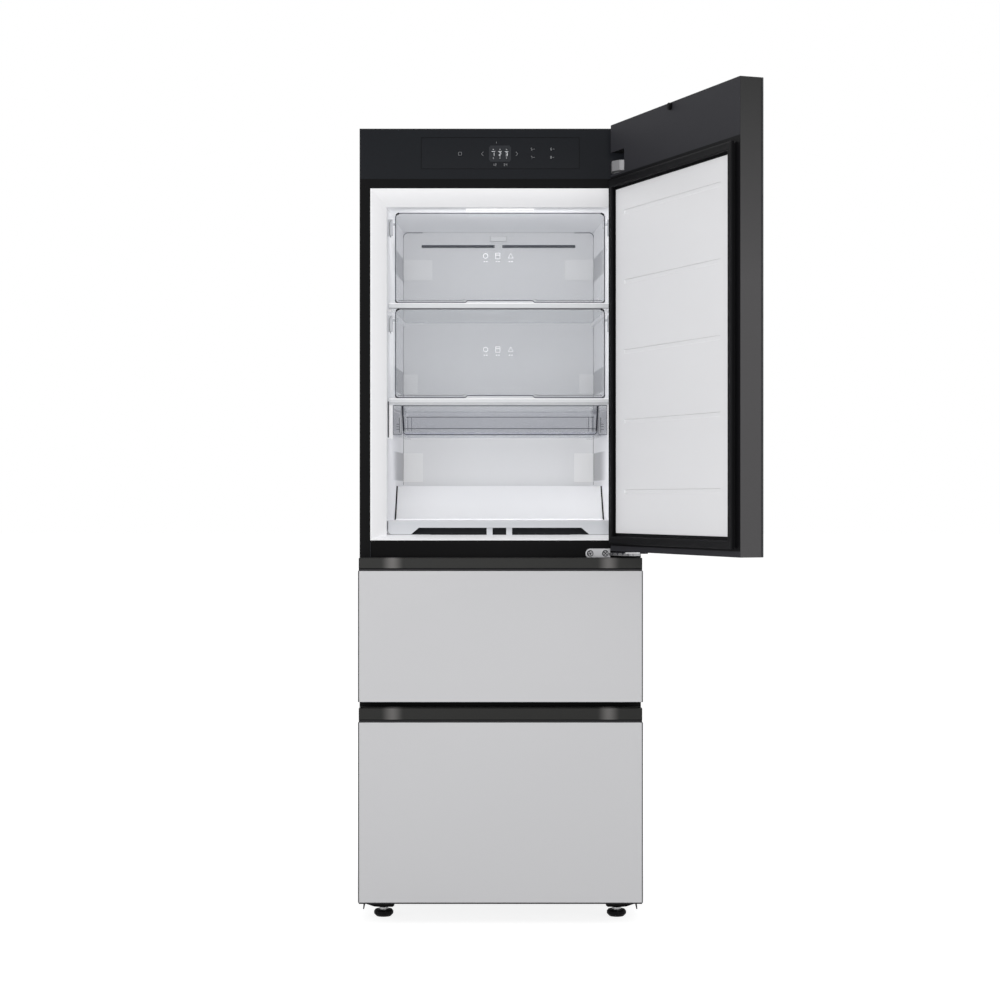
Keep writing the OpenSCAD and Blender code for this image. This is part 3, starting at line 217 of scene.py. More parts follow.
world = bpy.data.worlds.new("studio")
scene.world = world
world.use_nodes = True
wt = world.node_tree
wt.nodes.clear()
level = ramp(wt, seen_rays(wt), 0.0, 1.0, WORLD_LEVEL, 1.0)
sky = result(wt, "ShaderNodeBackground", {"Color": (1, 1, 1, 1), "Strength": level})
wt.links.new(sky, add(wt, "ShaderNodeOutputWorld").inputs[0])


def soft_box(name, place, target, width, height, power):
    data = bpy.data.lights.new(name, "AREA")
    data.shape = "RECTANGLE"
    data.size, data.size_y = width, height
    data.energy = power
    lamp = bpy.data.objects.new(name, data)
    lamp.location = place
    lamp.rotation_euler = (Vector(target) - Vector(place)).to_track_quat("-Z", "Y").to_euler()
    lamp.visible_camera = False
    scene.collection.objects.link(lamp)
    return lamp


AIM = (0, 0, 1.0)
soft_box("front_box", place=(-0.5, -4.6, 1.35), target=AIM, width=3.0, height=2.2, power=62)
soft_box("left_box", place=(-3.2, -1.6, 1.8), target=AIM, width=2.0, height=2.4, power=26)
soft_box("right_box", place=(3.2, -1.2, 1.8), target=AIM, width=2.0, height=2.4, power=26)
soft_box("back_box", place=(0, 4.0, 2.6), target=AIM, width=3.0, height=2.0, power=40)

# The compartment's own light as it falls from the lamp through the glass shelves.
# Each level has the light's height, its power and how much higher it aims at the back wall.
INNER_LEVELS = ((1.60, 0.26, 0.14), (1.36, 0.28, 0.0), (1.13, 0.28, 0.0))
INNER_Y = 0.075
BACK_WALL_Y = 0.5
INNER_W, INNER_H = 0.44, 0.10
for i, (z, power, rise) in enumerate(INNER_LEVELS):
    place, target = (0, INNER_Y, z), (0, BACK_WALL_Y, z + rise)
    fill = soft_box("inner_light_%d" % (i + 1), place, target, INNER_W, INNER_H, power)
    fill.visible_glossy = False


def floor_material():
    """A matt grey that takes soft shadows and throws little light back, and looks near white."""
    material, tree = new_tree("pale_floor")
    point = add(tree, "ShaderNodeTexCoord").outputs["Object"]
    dark, pale = (rgba((grey,) * 3) for grey in FLOOR_GREYS)
    cloud = mix(tree, noise(tree, point, 2.0), dark, pale)
    matt = result(tree, "ShaderNodeBsdfDiffuse", {"Color": cloud})
    strength = math_node(tree, "MULTIPLY", seen_rays(tree), FLOOR_GLOW)
    lit = result(tree, "ShaderNodeEmission", {"Color": (1, 1, 1, 1), "Strength": strength})
    both = result(tree, "ShaderNodeAddShader", {0: matt, 1: lit})
    tree.links.new(both, add(tree, "ShaderNodeOutputMaterial").inputs[0])
    return material


def make_floor():
    mesh = bpy.data.meshes.new("floor")
    corners = [(sx * FLOOR_HALF, sy * FLOOR_HALF, 0) for sx, sy in ((-1, -1), (1, -1), (1, 1), (-1, 1))]
    mesh.from_pydata(corners, [], [(0, 1, 2, 3)])
    floor = bpy.data.objects.new("floor", mesh)
    scene.collection.objects.link(floor)
    mesh.materials.append(floor_material())


make_floor()

# ---------------- materials

# A painted edge fades over this distance
SHARP = 0.0004


def along_door(tree, point, axis):
    """A point's place along the shut door's axis (0 = X, 1 = Y), found where the door stands open."""
    turned = Matrix.Rotation(DOOR_TURN, 3, "Z") @ Vector([float(i == axis) for i in range(3)])
    offset = result(tree, "ShaderNodeVectorMath", {0: point, 1: PIVOT}, operation="SUBTRACT")
    reach = add(tree, "ShaderNodeVectorMath", {0: offset, 1: turned}, operation="DOT_PRODUCT")
    return math_node(tree, "ADD", reach.outputs["Value"], PIVOT[axis])


def depth_of(tree, point):
    return add(tree, "ShaderNodeSeparateXYZ", {0: point}).outputs[1]


def height_of(tree, point):
    return add(tree, "ShaderNodeSeparateXYZ", {0: point}).outputs[2]


def from_middle(tree, point):
    """A point's distance from the plane X = 0."""
    return math_node(tree, "ABSOLUTE", result(tree, "ShaderNodeSeparateXYZ", {0: point}))


def above(tree, value, limit, fade=SHARP):
    """1 where the value is past the limit, and 0 before it."""
    return ramp(tree, value, limit, limit + fade)


def below(tree, value, limit, fade=SHARP):
    return ramp(tree, value, limit, limit + fade, 1.0, 0.0)


def product(tree, first, *others):
    for other in others:
        first = math_node(tree, "MULTIPLY", first, other)
    return first


STRIP_HIGHLIGHT_X = 0.253
STRIP_HIGHLIGHT_REACH = 0.028
STRIP_HIGHLIGHT_STRENGTH = 0.66
STRIP_END = 0.0022


def strip_highlight_tint(tree, shade, point):
    """Two painted highlights where the strip's finger scoop turns in and would catch the light, near its
    darker ends.
    """
    side = from_middle(tree, point)
    away = math_node(tree, "ABSOLUTE", math_node(tree, "SUBTRACT", side, STRIP_HIGHLIGHT_X))
    band = ramp(tree, away, 0.0, STRIP_HIGHLIGHT_REACH, STRIP_HIGHLIGHT_STRENGTH, 0.0, smooth=True)
    shade = mix(tree, band, shade, paint(108, 106, 105))
    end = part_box("middle_handle_strip")[1].x - STRIP_END
    return mix(tree, above(tree, side, end), shade, paint(18, 18, 19))


SHEET_BACK_Y = -0.0674
SHEET_SHADE_X = 0.3300
SHEET_SHADE_FADE = 0.0006


def sheet_back_tint(tree, shade, y):
    """The sheet's own edges are darker than its face, which lies at Y = -0.068."""
    return mix(tree, above(tree, y, SHEET_BACK_Y), shade, paint(54, 54, 56))


def door_panel_tint(tree, shade, point):
    return sheet_back_tint(tree, shade, along_door(tree, point, 1))


def drawer_panel_tint(tree, shade, point):
    """The drawers' fronts also have a painted shade line at their sides, where their rounded edges turn
    from the light.
    """
    rim = above(tree, from_middle(tree, point), SHEET_SHADE_X, SHEET_SHADE_FADE)
    shade = mix(tree, rim, shade, paint(80, 80, 82))
    return sheet_back_tint(tree, shade, depth_of(tree, point))


# The hinge pocket at the door's upper corner, along the shut door's X, Y and Z, short of its outer faces
POCKET_LOW = (0.2700, -0.0660, 1.7800)
POCKET_HIGH = (0.3318, -0.0156, 1.8680)
POCKET_FADE = 0.0002
DOOR_INNER_Y = -0.0150
DOOR_FREE_EDGE_X = -0.3296
SEAL_BAND_TOP = 1.7478
SEAL_BAND_FOOT = 0.8835
SEAL_TOP_FADE, SEAL_FOOT_FADE = 0.0008, 0.0010
# Heights over which the painted light on the door's free edge brightens downwards
EDGE_LIGHT_FROM, EDGE_LIGHT_TO = 1.86, 1.45


def pocket_mask(tree, point):
    """1 inside the hinge pocket, and 0 on the door's outer faces."""
    axes = (along_door(tree, point, 0), along_door(tree, point, 1), height_of(tree, point))
    mask = 1.0
    for value, low, high in zip(axes, POCKET_LOW, POCKET_HIGH):
        mask = product(tree, mask, above(tree, value, low, POCKET_FADE),
                       below(tree, value, high, POCKET_FADE))
    return mask


def door_body_tint(tree, shade, point):
    """The seal's black surround on the inner face, painted shade inside the hinge pocket, and painted
    light on the free edge, lighter towards its lower end.
    """
    z = height_of(tree, point)
    inner = above(tree, along_door(tree, point, 1), DOOR_INNER_Y)
    band = product(tree, inner, below(tree, z, SEAL_BAND_TOP, SEAL_TOP_FADE),
                   above(tree, z, SEAL_BAND_FOOT, SEAL_FOOT_FADE))
    shade = mix(tree, band, shade, paint(16, 16, 18))
    # Painted shade inside the hinge pocket
    shade = mix(tree, pocket_mask(tree, point), shade, paint(6, 6, 7))
    # Painted light on the free edge, brighter towards its lower end
    edge = below(tree, along_door(tree, point, 0), DOOR_FREE_EDGE_X)
    outer = math_node(tree, "SUBTRACT", 1.0, inner)
    lift = mix(tree, ramp(tree, z, EDGE_LIGHT_FROM, EDGE_LIGHT_TO), paint(58, 58, 58), paint(85, 84, 85))
    return mix(tree, product(tree, edge, outer), shade, lift)


INSERT_HALF = 0.3065
INSERT_TOP = 0.893
INSERT_STRENGTH = 0.85


def frame_tint(tree, shade, point):
    """The cross members are a darker insert that lightens towards its middle."""
    side = from_middle(tree, point)
    deep = ramp(tree, side, 0.0, INSERT_HALF, 0.0, INSERT_STRENGTH)
    low = below(tree, height_of(tree, point), INSERT_TOP)
    return mix(tree, product(tree, deep, below(tree, side, INSERT_HALF), low), shade, paint(3, 3, 4))


PAD_Y = 0.5230
PAD_FADE = 0.0018
PAD_STRENGTH = 0.35


def pad_highlight_tint(tree, shade, point):
    """Pads that stand forward of the duct cover are painted lighter, for the light they catch."""
    behind = ramp(tree, depth_of(tree, point), PAD_Y, PAD_Y + PAD_FADE, 0.0, PAD_STRENGTH)
    return mix(tree, behind, paint(246, 246, 246), paint(205, 206, 210))


SCOOP_FRONT, SCOOP_BACK = 0.16, 0.36
SCOOP_X = 0.2445
SCOOP_X_FADE = 0.001
SCOOP_LEVELS = ((1.556, 1.616), (1.262, 1.322), (1.040, 1.112))
SCOOP_BLUR = 0.002
SCOOP_SHADE_STRENGTH = 0.75


def liner_scoop_shade_tint(tree, shade, point):
    """Painted shade in the side walls' air scoops, deepening towards the back."""
    z = height_of(tree, point)
    deep = ramp(tree, depth_of(tree, point), SCOOP_FRONT, SCOOP_BACK, smooth=True)
    side = above(tree, from_middle(tree, point), SCOOP_X, SCOOP_X_FADE)
    bands = 0.0
    for low, high in SCOOP_LEVELS:
        band = product(tree, above(tree, z, low - SCOOP_BLUR, 2 * SCOOP_BLUR),
                       below(tree, z, high - SCOOP_BLUR, 2 * SCOOP_BLUR))
        bands = math_node(tree, "MAXIMUM", bands, band)
    dark = product(tree, deep, side, bands, SCOOP_SHADE_STRENGTH)
    return mix(tree, dark, shade, paint(140, 140, 144))


TRAY_BRACKET_TOP = 1.222
TRAY_BRACKET_FADE = 0.002


def bracket_tint(tree, shade, point):
    """The tray's brackets, low on the walls, are whiter than the guards' pivot housings."""
    housing = above(tree, height_of(tree, point), TRAY_BRACKET_TOP, TRAY_BRACKET_FADE)
    return mix(tree, housing, paint(240, 240, 242), shade)


TRAY_BASE_H = 0.0062
TRAY_BASE_FADE = 0.0003
TRAY_BASE_ALPHA, TRAY_WALL_ALPHA = 0.4, 0.1


def tray_alpha(tree, point):
    """The clear tray's thick base is less clear than its walls, partly for its thickness and partly as
    painted shade for the tray's shadow below it.
    """
    base_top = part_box("clear_tray")[0].z + TRAY_BASE_H
    z = height_of(tree, point)
    return ramp(tree, z, base_top, base_top + TRAY_BASE_FADE, TRAY_BASE_ALPHA, TRAY_WALL_ALPHA)


SKIRT_TOP = FLOOR_TOP - 0.0008


def floor_tray_top_highlight_tint(tree, shade, point):
    """The tray's top is painted whiter than its skirt, a painted highlight where light falls on it from
    above.
    """
    return mix(tree, above(tree, height_of(tree, point), SKIRT_TOP), shade, paint(246, 246, 248))


BASE_UNDERSIDE = 0.0430
BASE_FADE = 0.0003


def base_tint(tree, shade, point):
    """What hangs under the base, the lugs and the rollers' ears, is darkened almost to black."""
    under = ramp(tree, height_of(tree, point), BASE_UNDERSIDE, BASE_UNDERSIDE - BASE_FADE)
    return mix(tree, under, shade, paint(13, 13, 14))


PAINT_TOP = 1.9
PAINT_LIFT = 0.12


def case_side_tint(tree, shade, point):
    """Slightly lighter towards the floor."""
    lift = ramp(tree, height_of(tree, point), PAINT_TOP, 0.0, 0.0, PAINT_LIFT)
    return mix(tree, lift, shade, paint(96, 96, 98))


# A glow painted on the compartment's white walls, standing in for the light that goes to and fro between
# them
INNER_GLOW = 0.1

# What several surfaces share
MOULDED = dict(vary=0.012, grain=1400, bump=0.04)
DARK_MOULDED = dict(grain=1500, bump=0.12)
CLEAR = dict(grain=300, bump=0.0)
ZINC = dict(vary=0.12, grain=120, bump=0.08, slow=14)
SILVER_SHEET = dict(metal=0.1, vary=0.012, grain=2600, bump=0.05, specular=0.3)
# Clear plastic with a little painted glow, like the compartment's white walls
CLEAR_PLASTIC = dict(vary=0.03, specular=0.2, glow=0.1, **CLEAR)

LOOK = {
    "case_steel": finish("case_paint", (62, 62, 64), 0.42, grain=1800, bump=0.25, specular=0.4,
                         tint=case_side_tint),
    "galvanised_steel": finish("galvanised", (158, 160, 163), 0.42, metal=0.85, **ZINC),
    "foam": finish("foam", (222, 208, 160), 0.9, grain=900, bump=0.5, vary=0.08),
    "liner_white": finish("liner_white", (245, 245, 247), 0.32, specular=0.4, tint=liner_scoop_shade_tint,
                          glow=INNER_GLOW, **MOULDED),
    "frame_black": finish("frame_black", (15, 15, 16), 0.5, specular=0.06, **DARK_MOULDED),
    "fascia_charcoal": finish("fascia_charcoal", (30, 32, 36), 0.3, grain=1500, bump=0.03,
                              specular=0.05),
    "display_glass": finish("display_glass", (31, 33, 37), 0.16, grain=900, bump=0.01, vary=0.03,
                            specular=0.05),
    "board_green": finish("board_green", (40, 110, 70), 0.5, grain=500),
    "aluminium": finish("aluminium", (205, 207, 210), 0.35, metal=1.0, stretch=(1, 1, 12)),
    "grey_plastic": finish("grey_plastic", (150, 150, 152), 0.5, grain=1200, bump=0.15),
    "lamp": finish("lamp", (255, 255, 255), 0.4, vary=0.0, glow=0.35),
    "shelf_glass": finish("shelf_glass", (214, 222, 226), 0.05, vary=0.02, alpha=0.25, **CLEAR),
    "trim_white": finish("trim_white", (226, 228, 231), 0.35, vary=0.015, grain=1400, bump=0.05),
    "smoked_clear": finish("smoked_clear", (136, 141, 152), 0.08, vary=0.02, alpha=0.2, specular=0.2,
                           **CLEAR),
    "clear_plastic": finish("clear_plastic", (158, 163, 180), 0.08, alpha=0.1, **CLEAR_PLASTIC),
    "hinge_metal": finish("hinge_metal", (150, 150, 152), 0.36, metal=0.6, grain=900,
                          stretch=(6, 1, 1), specular=0.3),
    "compressor_black": finish("compressor_black", (26, 26, 28), 0.35, grain=400, bump=0.15),
    "rubber_black": finish("rubber_black", (15, 15, 17), 0.5, grain=1600, specular=0.08),
    "front_panel": finish("front_silver", (203, 203, 205), 0.45, tint=drawer_panel_tint, **SILVER_SHEET),
    "strip_metal": finish("strip_brushed", (35, 35, 34), 0.34, metal=0.3, vary=0.12, grain=260,
                          stretch=(1, 1, 20), bump=0.06, specular=0.15, tint=strip_highlight_tint),
    "body_dark": finish("body_dark", (58, 58, 60), 0.5, specular=0.1, **DARK_MOULDED),
}
NODE_LOOK = {
    "front_frame": finish("front_frame_black", (15, 15, 16), 0.5, specular=0.06, tint=frame_tint,
                          **DARK_MOULDED),
    "door_panel": finish("door_silver", (203, 203, 205), 0.45, tint=door_panel_tint, **SILVER_SHEET),
    "door_frame": finish("door_body", (50, 50, 54), 0.5, specular=0.06, tint=door_body_tint,
                         **DARK_MOULDED),
    "duct_cover": finish("duct_white", (232, 232, 234), 0.35, tint=pad_highlight_tint, glow=INNER_GLOW,
                         **MOULDED),
    "door_liner": finish("door_liner_white", (245, 245, 247), 0.32, specular=0.4, **MOULDED),
    "rear_step_cover": finish("step_white", (247, 247, 247), 0.35, **MOULDED),
    "floor_tray": finish("tray_grey", (208, 210, 215), 0.35, tint=floor_tray_top_highlight_tint, **MOULDED),
    "clear_tray": finish("clear_tray_plastic", (158, 163, 180), 0.08, alpha=tray_alpha,
                         **CLEAR_PLASTIC),
    "return_grille": finish("grille_black", (36, 37, 40), 0.6, grain=900, specular=0.05),
    "base_plate": finish("base_steel", (158, 160, 163), 0.42, metal=0.6, tint=base_tint, **ZINC),
    "wall_brackets": finish("bracket_grey", (196, 198, 203), 0.4, vary=0.02, grain=1400, bump=0.05,
                            tint=bracket_tint, glow=INNER_GLOW),
}
PANEL_EDGE = finish("panel_edge", (54, 54, 56), 0.45, grain=2000, specular=0.2)
NUT_ZINC = finish("nut_zinc", (232, 232, 234), 0.3, metal=0.2, grain=600)
GUARD_LINE = finish("guard_line", (112, 113, 119), 0.3, grain=900, specular=0.2)
DARK_LINE = finish("dark_line", (84, 86, 93), 0.3, grain=900, specular=0.2)
DEEP_LINE = finish("deep_line", (46, 47, 55), 0.35, grain=900, specular=0.15)
CORNER_BLACK = finish("corner_black", (24, 25, 28), 0.4, grain=900, specular=0.15)
MARK_WHITE = finish("mark_white", (240, 242, 246), 0.6, grain=900, glow=0.3)
# Glowing white for printed symbols, and for painted highlights along edges
PRINT_AND_HIGHLIGHT_WHITE = finish("print_and_highlight_white", (250, 250, 252), 0.6, grain=900, vary=0.01, glow=0.35)
MARK_GREY = finish("mark_grey", (150, 151, 154), 0.5, grain=900)
MARK_DIM = finish("mark_dim", (47, 49, 53), 0.35, grain=900, specular=0.08)
LENS_WHITE = finish("lens_white", (226, 228, 231), 0.5, grain=900, vary=0.01, glow=0.1)
SHADOW_BLACK = finish("shadow_black", (12, 12, 13), 0.8, grain=900, specular=0.1)
SLOT_DARK = finish("slot_dark", (12, 12, 14), 0.8, grain=900, specular=0.02)

slot_of = {row["node"]: row["material_slot"] for row in frame["record"]["subparts"]}
for node, obj in nodes.items():
    obj.material_slots[0].material = NODE_LOOK.get(node, LOOK[slot_of[node]])

# Widths of the rounded edges
BEVELS = {
    "outer_case": 0.0012, "door_panel": 0.0014, "door_frame": 0.0010, "control_panel": 0.0006,
    "middle_front_panel": 0.0010, "lower_front_panel": 0.0010, "middle_handle_strip": 0.0008,
    "lower_handle_strip": 0.0008, "middle_front_body": 0.0012, "lower_front_body": 0.0012,
    "shelf_trims": 0.0015, "floor_tray": 0.0008, "rear_step_cover": 0.0008, "duct_cover": 0.0008,
    "door_liner": 0.0008, "ceiling_lamp": 0.0015, "wall_brackets": 0.0012, "top_hinge": 0.0008,
    "bottom_hinge": 0.0006, "door_peg": 0.0008, "middle_bin": 0.0010, "lower_bin": 0.0010,
}
# Sheets whose edges are darker than their faces
EDGED = ("door_panel", "middle_front_panel", "lower_front_panel")
SHARP_ANGLE = math.radians(32)
BEVEL_ANGLE = math.radians(50)


def soften_group():
    """Joins split vertices and shades smoothly, except across sharp edges."""
    group = bpy.data.node_groups.new("soften", "GeometryNodeTree")
    for way in ("INPUT", "OUTPUT"):
        group.interface.new_socket("Geometry", in_out=way, socket_type="NodeSocketGeometry")
    entry = group.nodes.new("NodeGroupInput").outputs[0]
    drop = result(group, "GeometryNodeRemoveAttribute", {"Geometry": entry, "Name": "custom_normal"})
    merged = result(group, "GeometryNodeMergeByDistance", {"Geometry": drop, "Distance": 1e-6})
    faces = result(group, "GeometryNodeSetShadeSmooth", {"Geometry": merged, "Shade Smooth": True})
    angle = result(group, "GeometryNodeInputMeshEdgeAngle")
    sharp = result(group, "FunctionNodeCompare", {0: angle, 1: SHARP_ANGLE}, operation="GREATER_THAN")
    edges = {"Geometry": faces, "Selection": sharp, "Shade Smooth": False}
    creased = result(group, "GeometryNodeSetShadeSmooth", edges, domain="EDGE")
    group.links.new(creased, group.nodes.new("NodeGroupOutput").inputs[0])
    return group


SOFTEN = soften_group()
for node, obj in nodes.items():
    soft = obj.modifiers.new("soften", "NODES")
    soft.node_group = SOFTEN
    if node in BEVELS:
        if node in EDGED:
            obj.data.materials.append(PANEL_EDGE)
        bevel = obj.modifiers.new("edge", "BEVEL")
        bevel.width = BEVELS[node]
        bevel.segments = 3
        bevel.limit_method = "ANGLE"
        bevel.angle_limit = BEVEL_ANGLE
        bevel.harden_normals = True
        if node in EDGED:
            bevel.material = 1

# ---------------- mesh helpers


def place_piece(name, mesh, material, body):
    """Adds a mesh to the scene as a piece that rides on a body."""
    mesh.materials.clear()
    mesh.materials.append(material)
    obj = bpy.data.objects.new(name, mesh)
    scene.collection.objects.link(obj)
    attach(obj, body)
    return obj


def piece(name, bm, material, body, matrix=None):
    """A piece from bm, which is used up."""
    mesh = bpy.data.meshes.new(name)
    bmesh.ops.recalc_face_normals(bm, faces=bm.faces)
    bm.to_mesh(mesh)
    bm.free()
    if matrix is not None:
        mesh.transform(matrix)
    return place_piece(name, mesh, material, body)


def beads(name, lines, material, body="cabinet", *, radius):
    """A piece of round beads along lines: each line is (points, closed)."""
    curve = bpy.data.curves.new("bead", "CURVE")
    curve.dimensions = "3D"
    curve.bevel_depth = radius
    curve.bevel_resolution = 2
    curve.use_fill_caps = True
    for points, closed in lines:
        spline = curve.splines.new("POLY")
        spline.points.add(len(points) - 1)
        for target, p in zip(spline.points, points):
            target.co = (*p, 1.0)
        spline.use_cyclic_u = closed
    holder = bpy.data.objects.new("bead_curve", curve)
    scene.collection.objects.link(holder)
    bpy.context.view_layer.update()
    mesh = bpy.data.meshes.new_from_object(holder.evaluated_get(bpy.context.evaluated_depsgraph_get()))
    mesh.name = name
    bpy.data.objects.remove(holder)
    bpy.data.curves.remove(curve)
    for polygon in mesh.polygons:
        polygon.use_smooth = True
    return place_piece(name, mesh, material, body)


def arc(cx, cz, r, start, end, y, steps=8):
    """Points on an arc in the plane Y = y, from one angle in degrees to another."""
    turns = [math.radians(start + (end - start) * i / steps) for i in range(steps + 1)]
    return [Vector((cx + r * math.cos(a), y, cz + r * math.sin(a))) for a in turns]


def add_box(bm, low, high):
    for v in bmesh.ops.create_cube(bm, size=1.0)["verts"]:
        v.co = Vector((low[i] if v.co[i] < 0 else high[i] for i in range(3)))


def join_rings(bm, a, b):
    """A band of faces between two rings of as many vertices each."""
    count = len(a)
    for i in range(count):
        bm.faces.new((a[i], a[(i + 1) % count], b[(i + 1) % count], b[i]))


# A line drawn on a face stands this far in front of it
PROUD = 0.0001


def mirrored_lines(points):
    """The same open line on both sides of the plane X = 0."""
    return [([Vector((side * abs(p.x), p.y, p.z)) for p in points], False) for side in (-1, 1)]


def open_line(*points):
    return [Vector(p) for p in points], False


def rectangle(x0, x1, z0, z1, y):
    """The corners of an upright rectangle in the plane Y = y."""
    return [Vector((x, y, z)) for x, z in ((x0, z0), (x1, z0), (x1, z1), (x0, z1))]


# ---------------- cold-air guards

GUARD_R = 0.0014
GUARD_HALF = 0.2505
GUARD_CORNER_R = 0.0105
GUARD_LOW_R = 0.006
GUARD_LINE_DEPTH = 0.0015
GUARD_TOP_INSET, GUARD_FOOT_INSET = 0.0005, 0.0008
NOTCH_HALF, NOTCH_H, NOTCH_RUN = 0.084, 0.005, 0.006
GUARD_LIP = 0.0052
GUARD_LIP_RISE = 0.004


def dress_guard_rim(node):
    """The moulded rim round a guard, brighter along its top and black at its corners."""
    low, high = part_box(node)
    half = GUARD_HALF - GUARD_R * 0.5
    y = low.y + GUARD_LINE_DEPTH
    top, bottom = high.z - GUARD_TOP_INSET, low.z + GUARD_FOOT_INSET
    r, low_r = GUARD_CORNER_R, GUARD_LOW_R
    left_top = arc(-half + r, top - r, r, 180, 90, y)
    right_top = arc(half - r, top - r, r, 90, 0, y)
    right_low = arc(half - low_r, bottom + low_r, low_r, 0, -90, y, 4)
    left_low = arc(-half + low_r, bottom + low_r, low_r, 270, 180, y, 4)
    inner = NOTCH_HALF - NOTCH_RUN
    step = [Vector((NOTCH_HALF, y, bottom)), Vector((inner, y, bottom + NOTCH_H)),
            Vector((-inner, y, bottom + NOTCH_H)), Vector((-NOTCH_HALF, y, bottom))]
    rim = right_top + right_low + step + left_low + left_top
    beads(node + "_edge", [(rim, False)], GUARD_LINE, node, radius=GUARD_R)
    top_edge = [left_top[-1], right_top[0]]
    beads(node + "_top_edge", [(top_edge, False)], MARK_GREY, node, radius=GUARD_R)
    lip = [Vector((half - low_r, y, bottom + GUARD_LIP)),
           Vector((NOTCH_HALF + NOTCH_RUN, y, bottom + GUARD_LIP)),
           Vector((NOTCH_HALF, y, bottom + GUARD_LIP + GUARD_LIP_RISE))]
    beads(node + "_lip", mirrored_lines(lip), MARK_GREY, node, radius=GUARD_R * 0.6)
    corners = [(left_top[3:-1], False), (right_top[1:-3], False)]
    beads(node + "_corners", corners, CORNER_BLACK, node, radius=GUARD_R * 1.6)
    low_corners = [(left_low, False), (right_low, False)]
    beads(node + "_low_corners", low_corners, CORNER_BLACK, node, radius=GUARD_R * 1.2)


# Where the photograph shows the printed symbols
SYMBOL_COLUMNS_PX = {"circle": 485.6, "square": 497.8, "triangle": 510.7}
SYMBOL_ROW_PX = {"upper_guard": 256.0, "lower_guard": 349.5}
CIRCLE_R = 0.0055
SQUARE_W, SQUARE_H = 0.0052, 0.0068
SQUARE_BAR = 0.002
TRIANGLE_W, TRIANGLE_FOOT, TRIANGLE_TIP = 0.006, 0.005, 0.006
RULE_DROP = 0.0135
RULE_INNER, RULE_OUTER = 0.001, 0.005


def symbol_lines(shape, cx, cz, y):
    """The lines of one symbol round its centre."""
    if shape == "circle":
        return [(arc(cx, cz, CIRCLE_R, 0, 360, y, 16)[:-1], True)]
    if shape == "square":
        left, right = cx - SQUARE_W, cx + SQUARE_W
        foot, top = cz - SQUARE_H, cz + SQUARE_H
        bar = cz + SQUARE_BAR
        return [(rectangle(left, right, foot, top, y), True), open_line((left, y, bar), (right, y, bar))]
    foot, tip = cz - TRIANGLE_FOOT, cz + TRIANGLE_TIP
    corners = ((cx - TRIANGLE_W, foot), (cx + TRIANGLE_W, foot), (cx, tip))
    return [([Vector((x, y, z)) for x, z in corners], True)]


def dress_guard_symbols(node):
    """Plain symbols printed in a row, with a broken rule under each."""
    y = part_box(node)[0].y - PROUD
    lines = []
    for shape, px in SYMBOL_COLUMNS_PX.items():
        centre = from_photo(px, SYMBOL_ROW_PX[node], y)
        lines += symbol_lines(shape, centre.x, centre.z, y)
        rule = centre.z - RULE_DROP
        lines.append(open_line((centre.x - RULE_OUTER, y, rule), (centre.x - RULE_INNER, y, rule)))
        lines.append(open_line((centre.x + RULE_INNER, y, rule), (centre.x + RULE_OUTER, y, rule)))
    beads(node + "_symbols", lines, PRINT_AND_HIGHLIGHT_WHITE, node, radius=0.0007)


for guard in ("upper_guard", "lower_guard"):
    dress_guard_rim(guard)
    dress_guard_symbols(guard)

# Depth of the pivot housings' face, and where the photograph shows their grooves
HOUSING_Y = 0.053
HOUSING_SPANS_PX = ((220.3, 237.6), (316.3, 333.8))
GROOVE_COLUMNS_PX = (391.3, 390.4, 389.4, 389.5, 391.0)
GROOVE_BEND_DROP, GROOVE_TOP_DROP, GROOVE_LOW_RISE = 0.8, 3.0, 3.6
TRAY_JOINT_PX = 388.4
TRAY_JOINT_SPAN_PX = (401.5, 437.5)


def dress_brackets():
    """A groove runs down each guard's pivot housing, and a joint beside each of the tray's brackets."""
    grooves = []
    for top, bottom in HOUSING_SPANS_PX:
        rows = (top, top + GROOVE_BEND_DROP, top + GROOVE_TOP_DROP, bottom - GROOVE_LOW_RISE, bottom)
        path = [from_photo(px, py, HOUSING_Y - PROUD) for px, py in zip(GROOVE_COLUMNS_PX, rows)]
        grooves += mirrored_lines(path)
    beads("bracket_grooves", grooves, MARK_GREY, radius=0.0008)
    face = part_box("wall_brackets")[0].y - PROUD
    joints = mirrored_lines([from_photo(TRAY_JOINT_PX, py, face) for py in TRAY_JOINT_SPAN_PX])
    beads("tray_bracket_joints", joints, DEEP_LINE, radius=0.0013)


dress_brackets()

# ---------------- clear tray and its runners

TRAY_FACE_Y = 0.0495
TRAY_RIB_Y = 0.0497
TRAY_CORNER_R = 0.009
TRAY_FRONT_BASE = 0.003
TRAY_TAPER = 0.003
TRAY_SIDE_INSET, TRAY_RIM_INSET, TRAY_WALL_INSET = 0.0006, 0.0008, 0.0012
LOW_RIDGE, HIGH_RIDGE = 0.0122, 0.0395
RIDGE_INSET, BASE_RIDGE_INSET = 0.010, 0.004
RIB_INSET, RIB_STEP, RIB_FOOT, RIB_TOP = 0.014, 0.009, 0.006, 0.040


def tray_beads(name, lines, material, radius):
    beads("clear_tray_" + name, lines, material, "clear_tray", radius=radius)


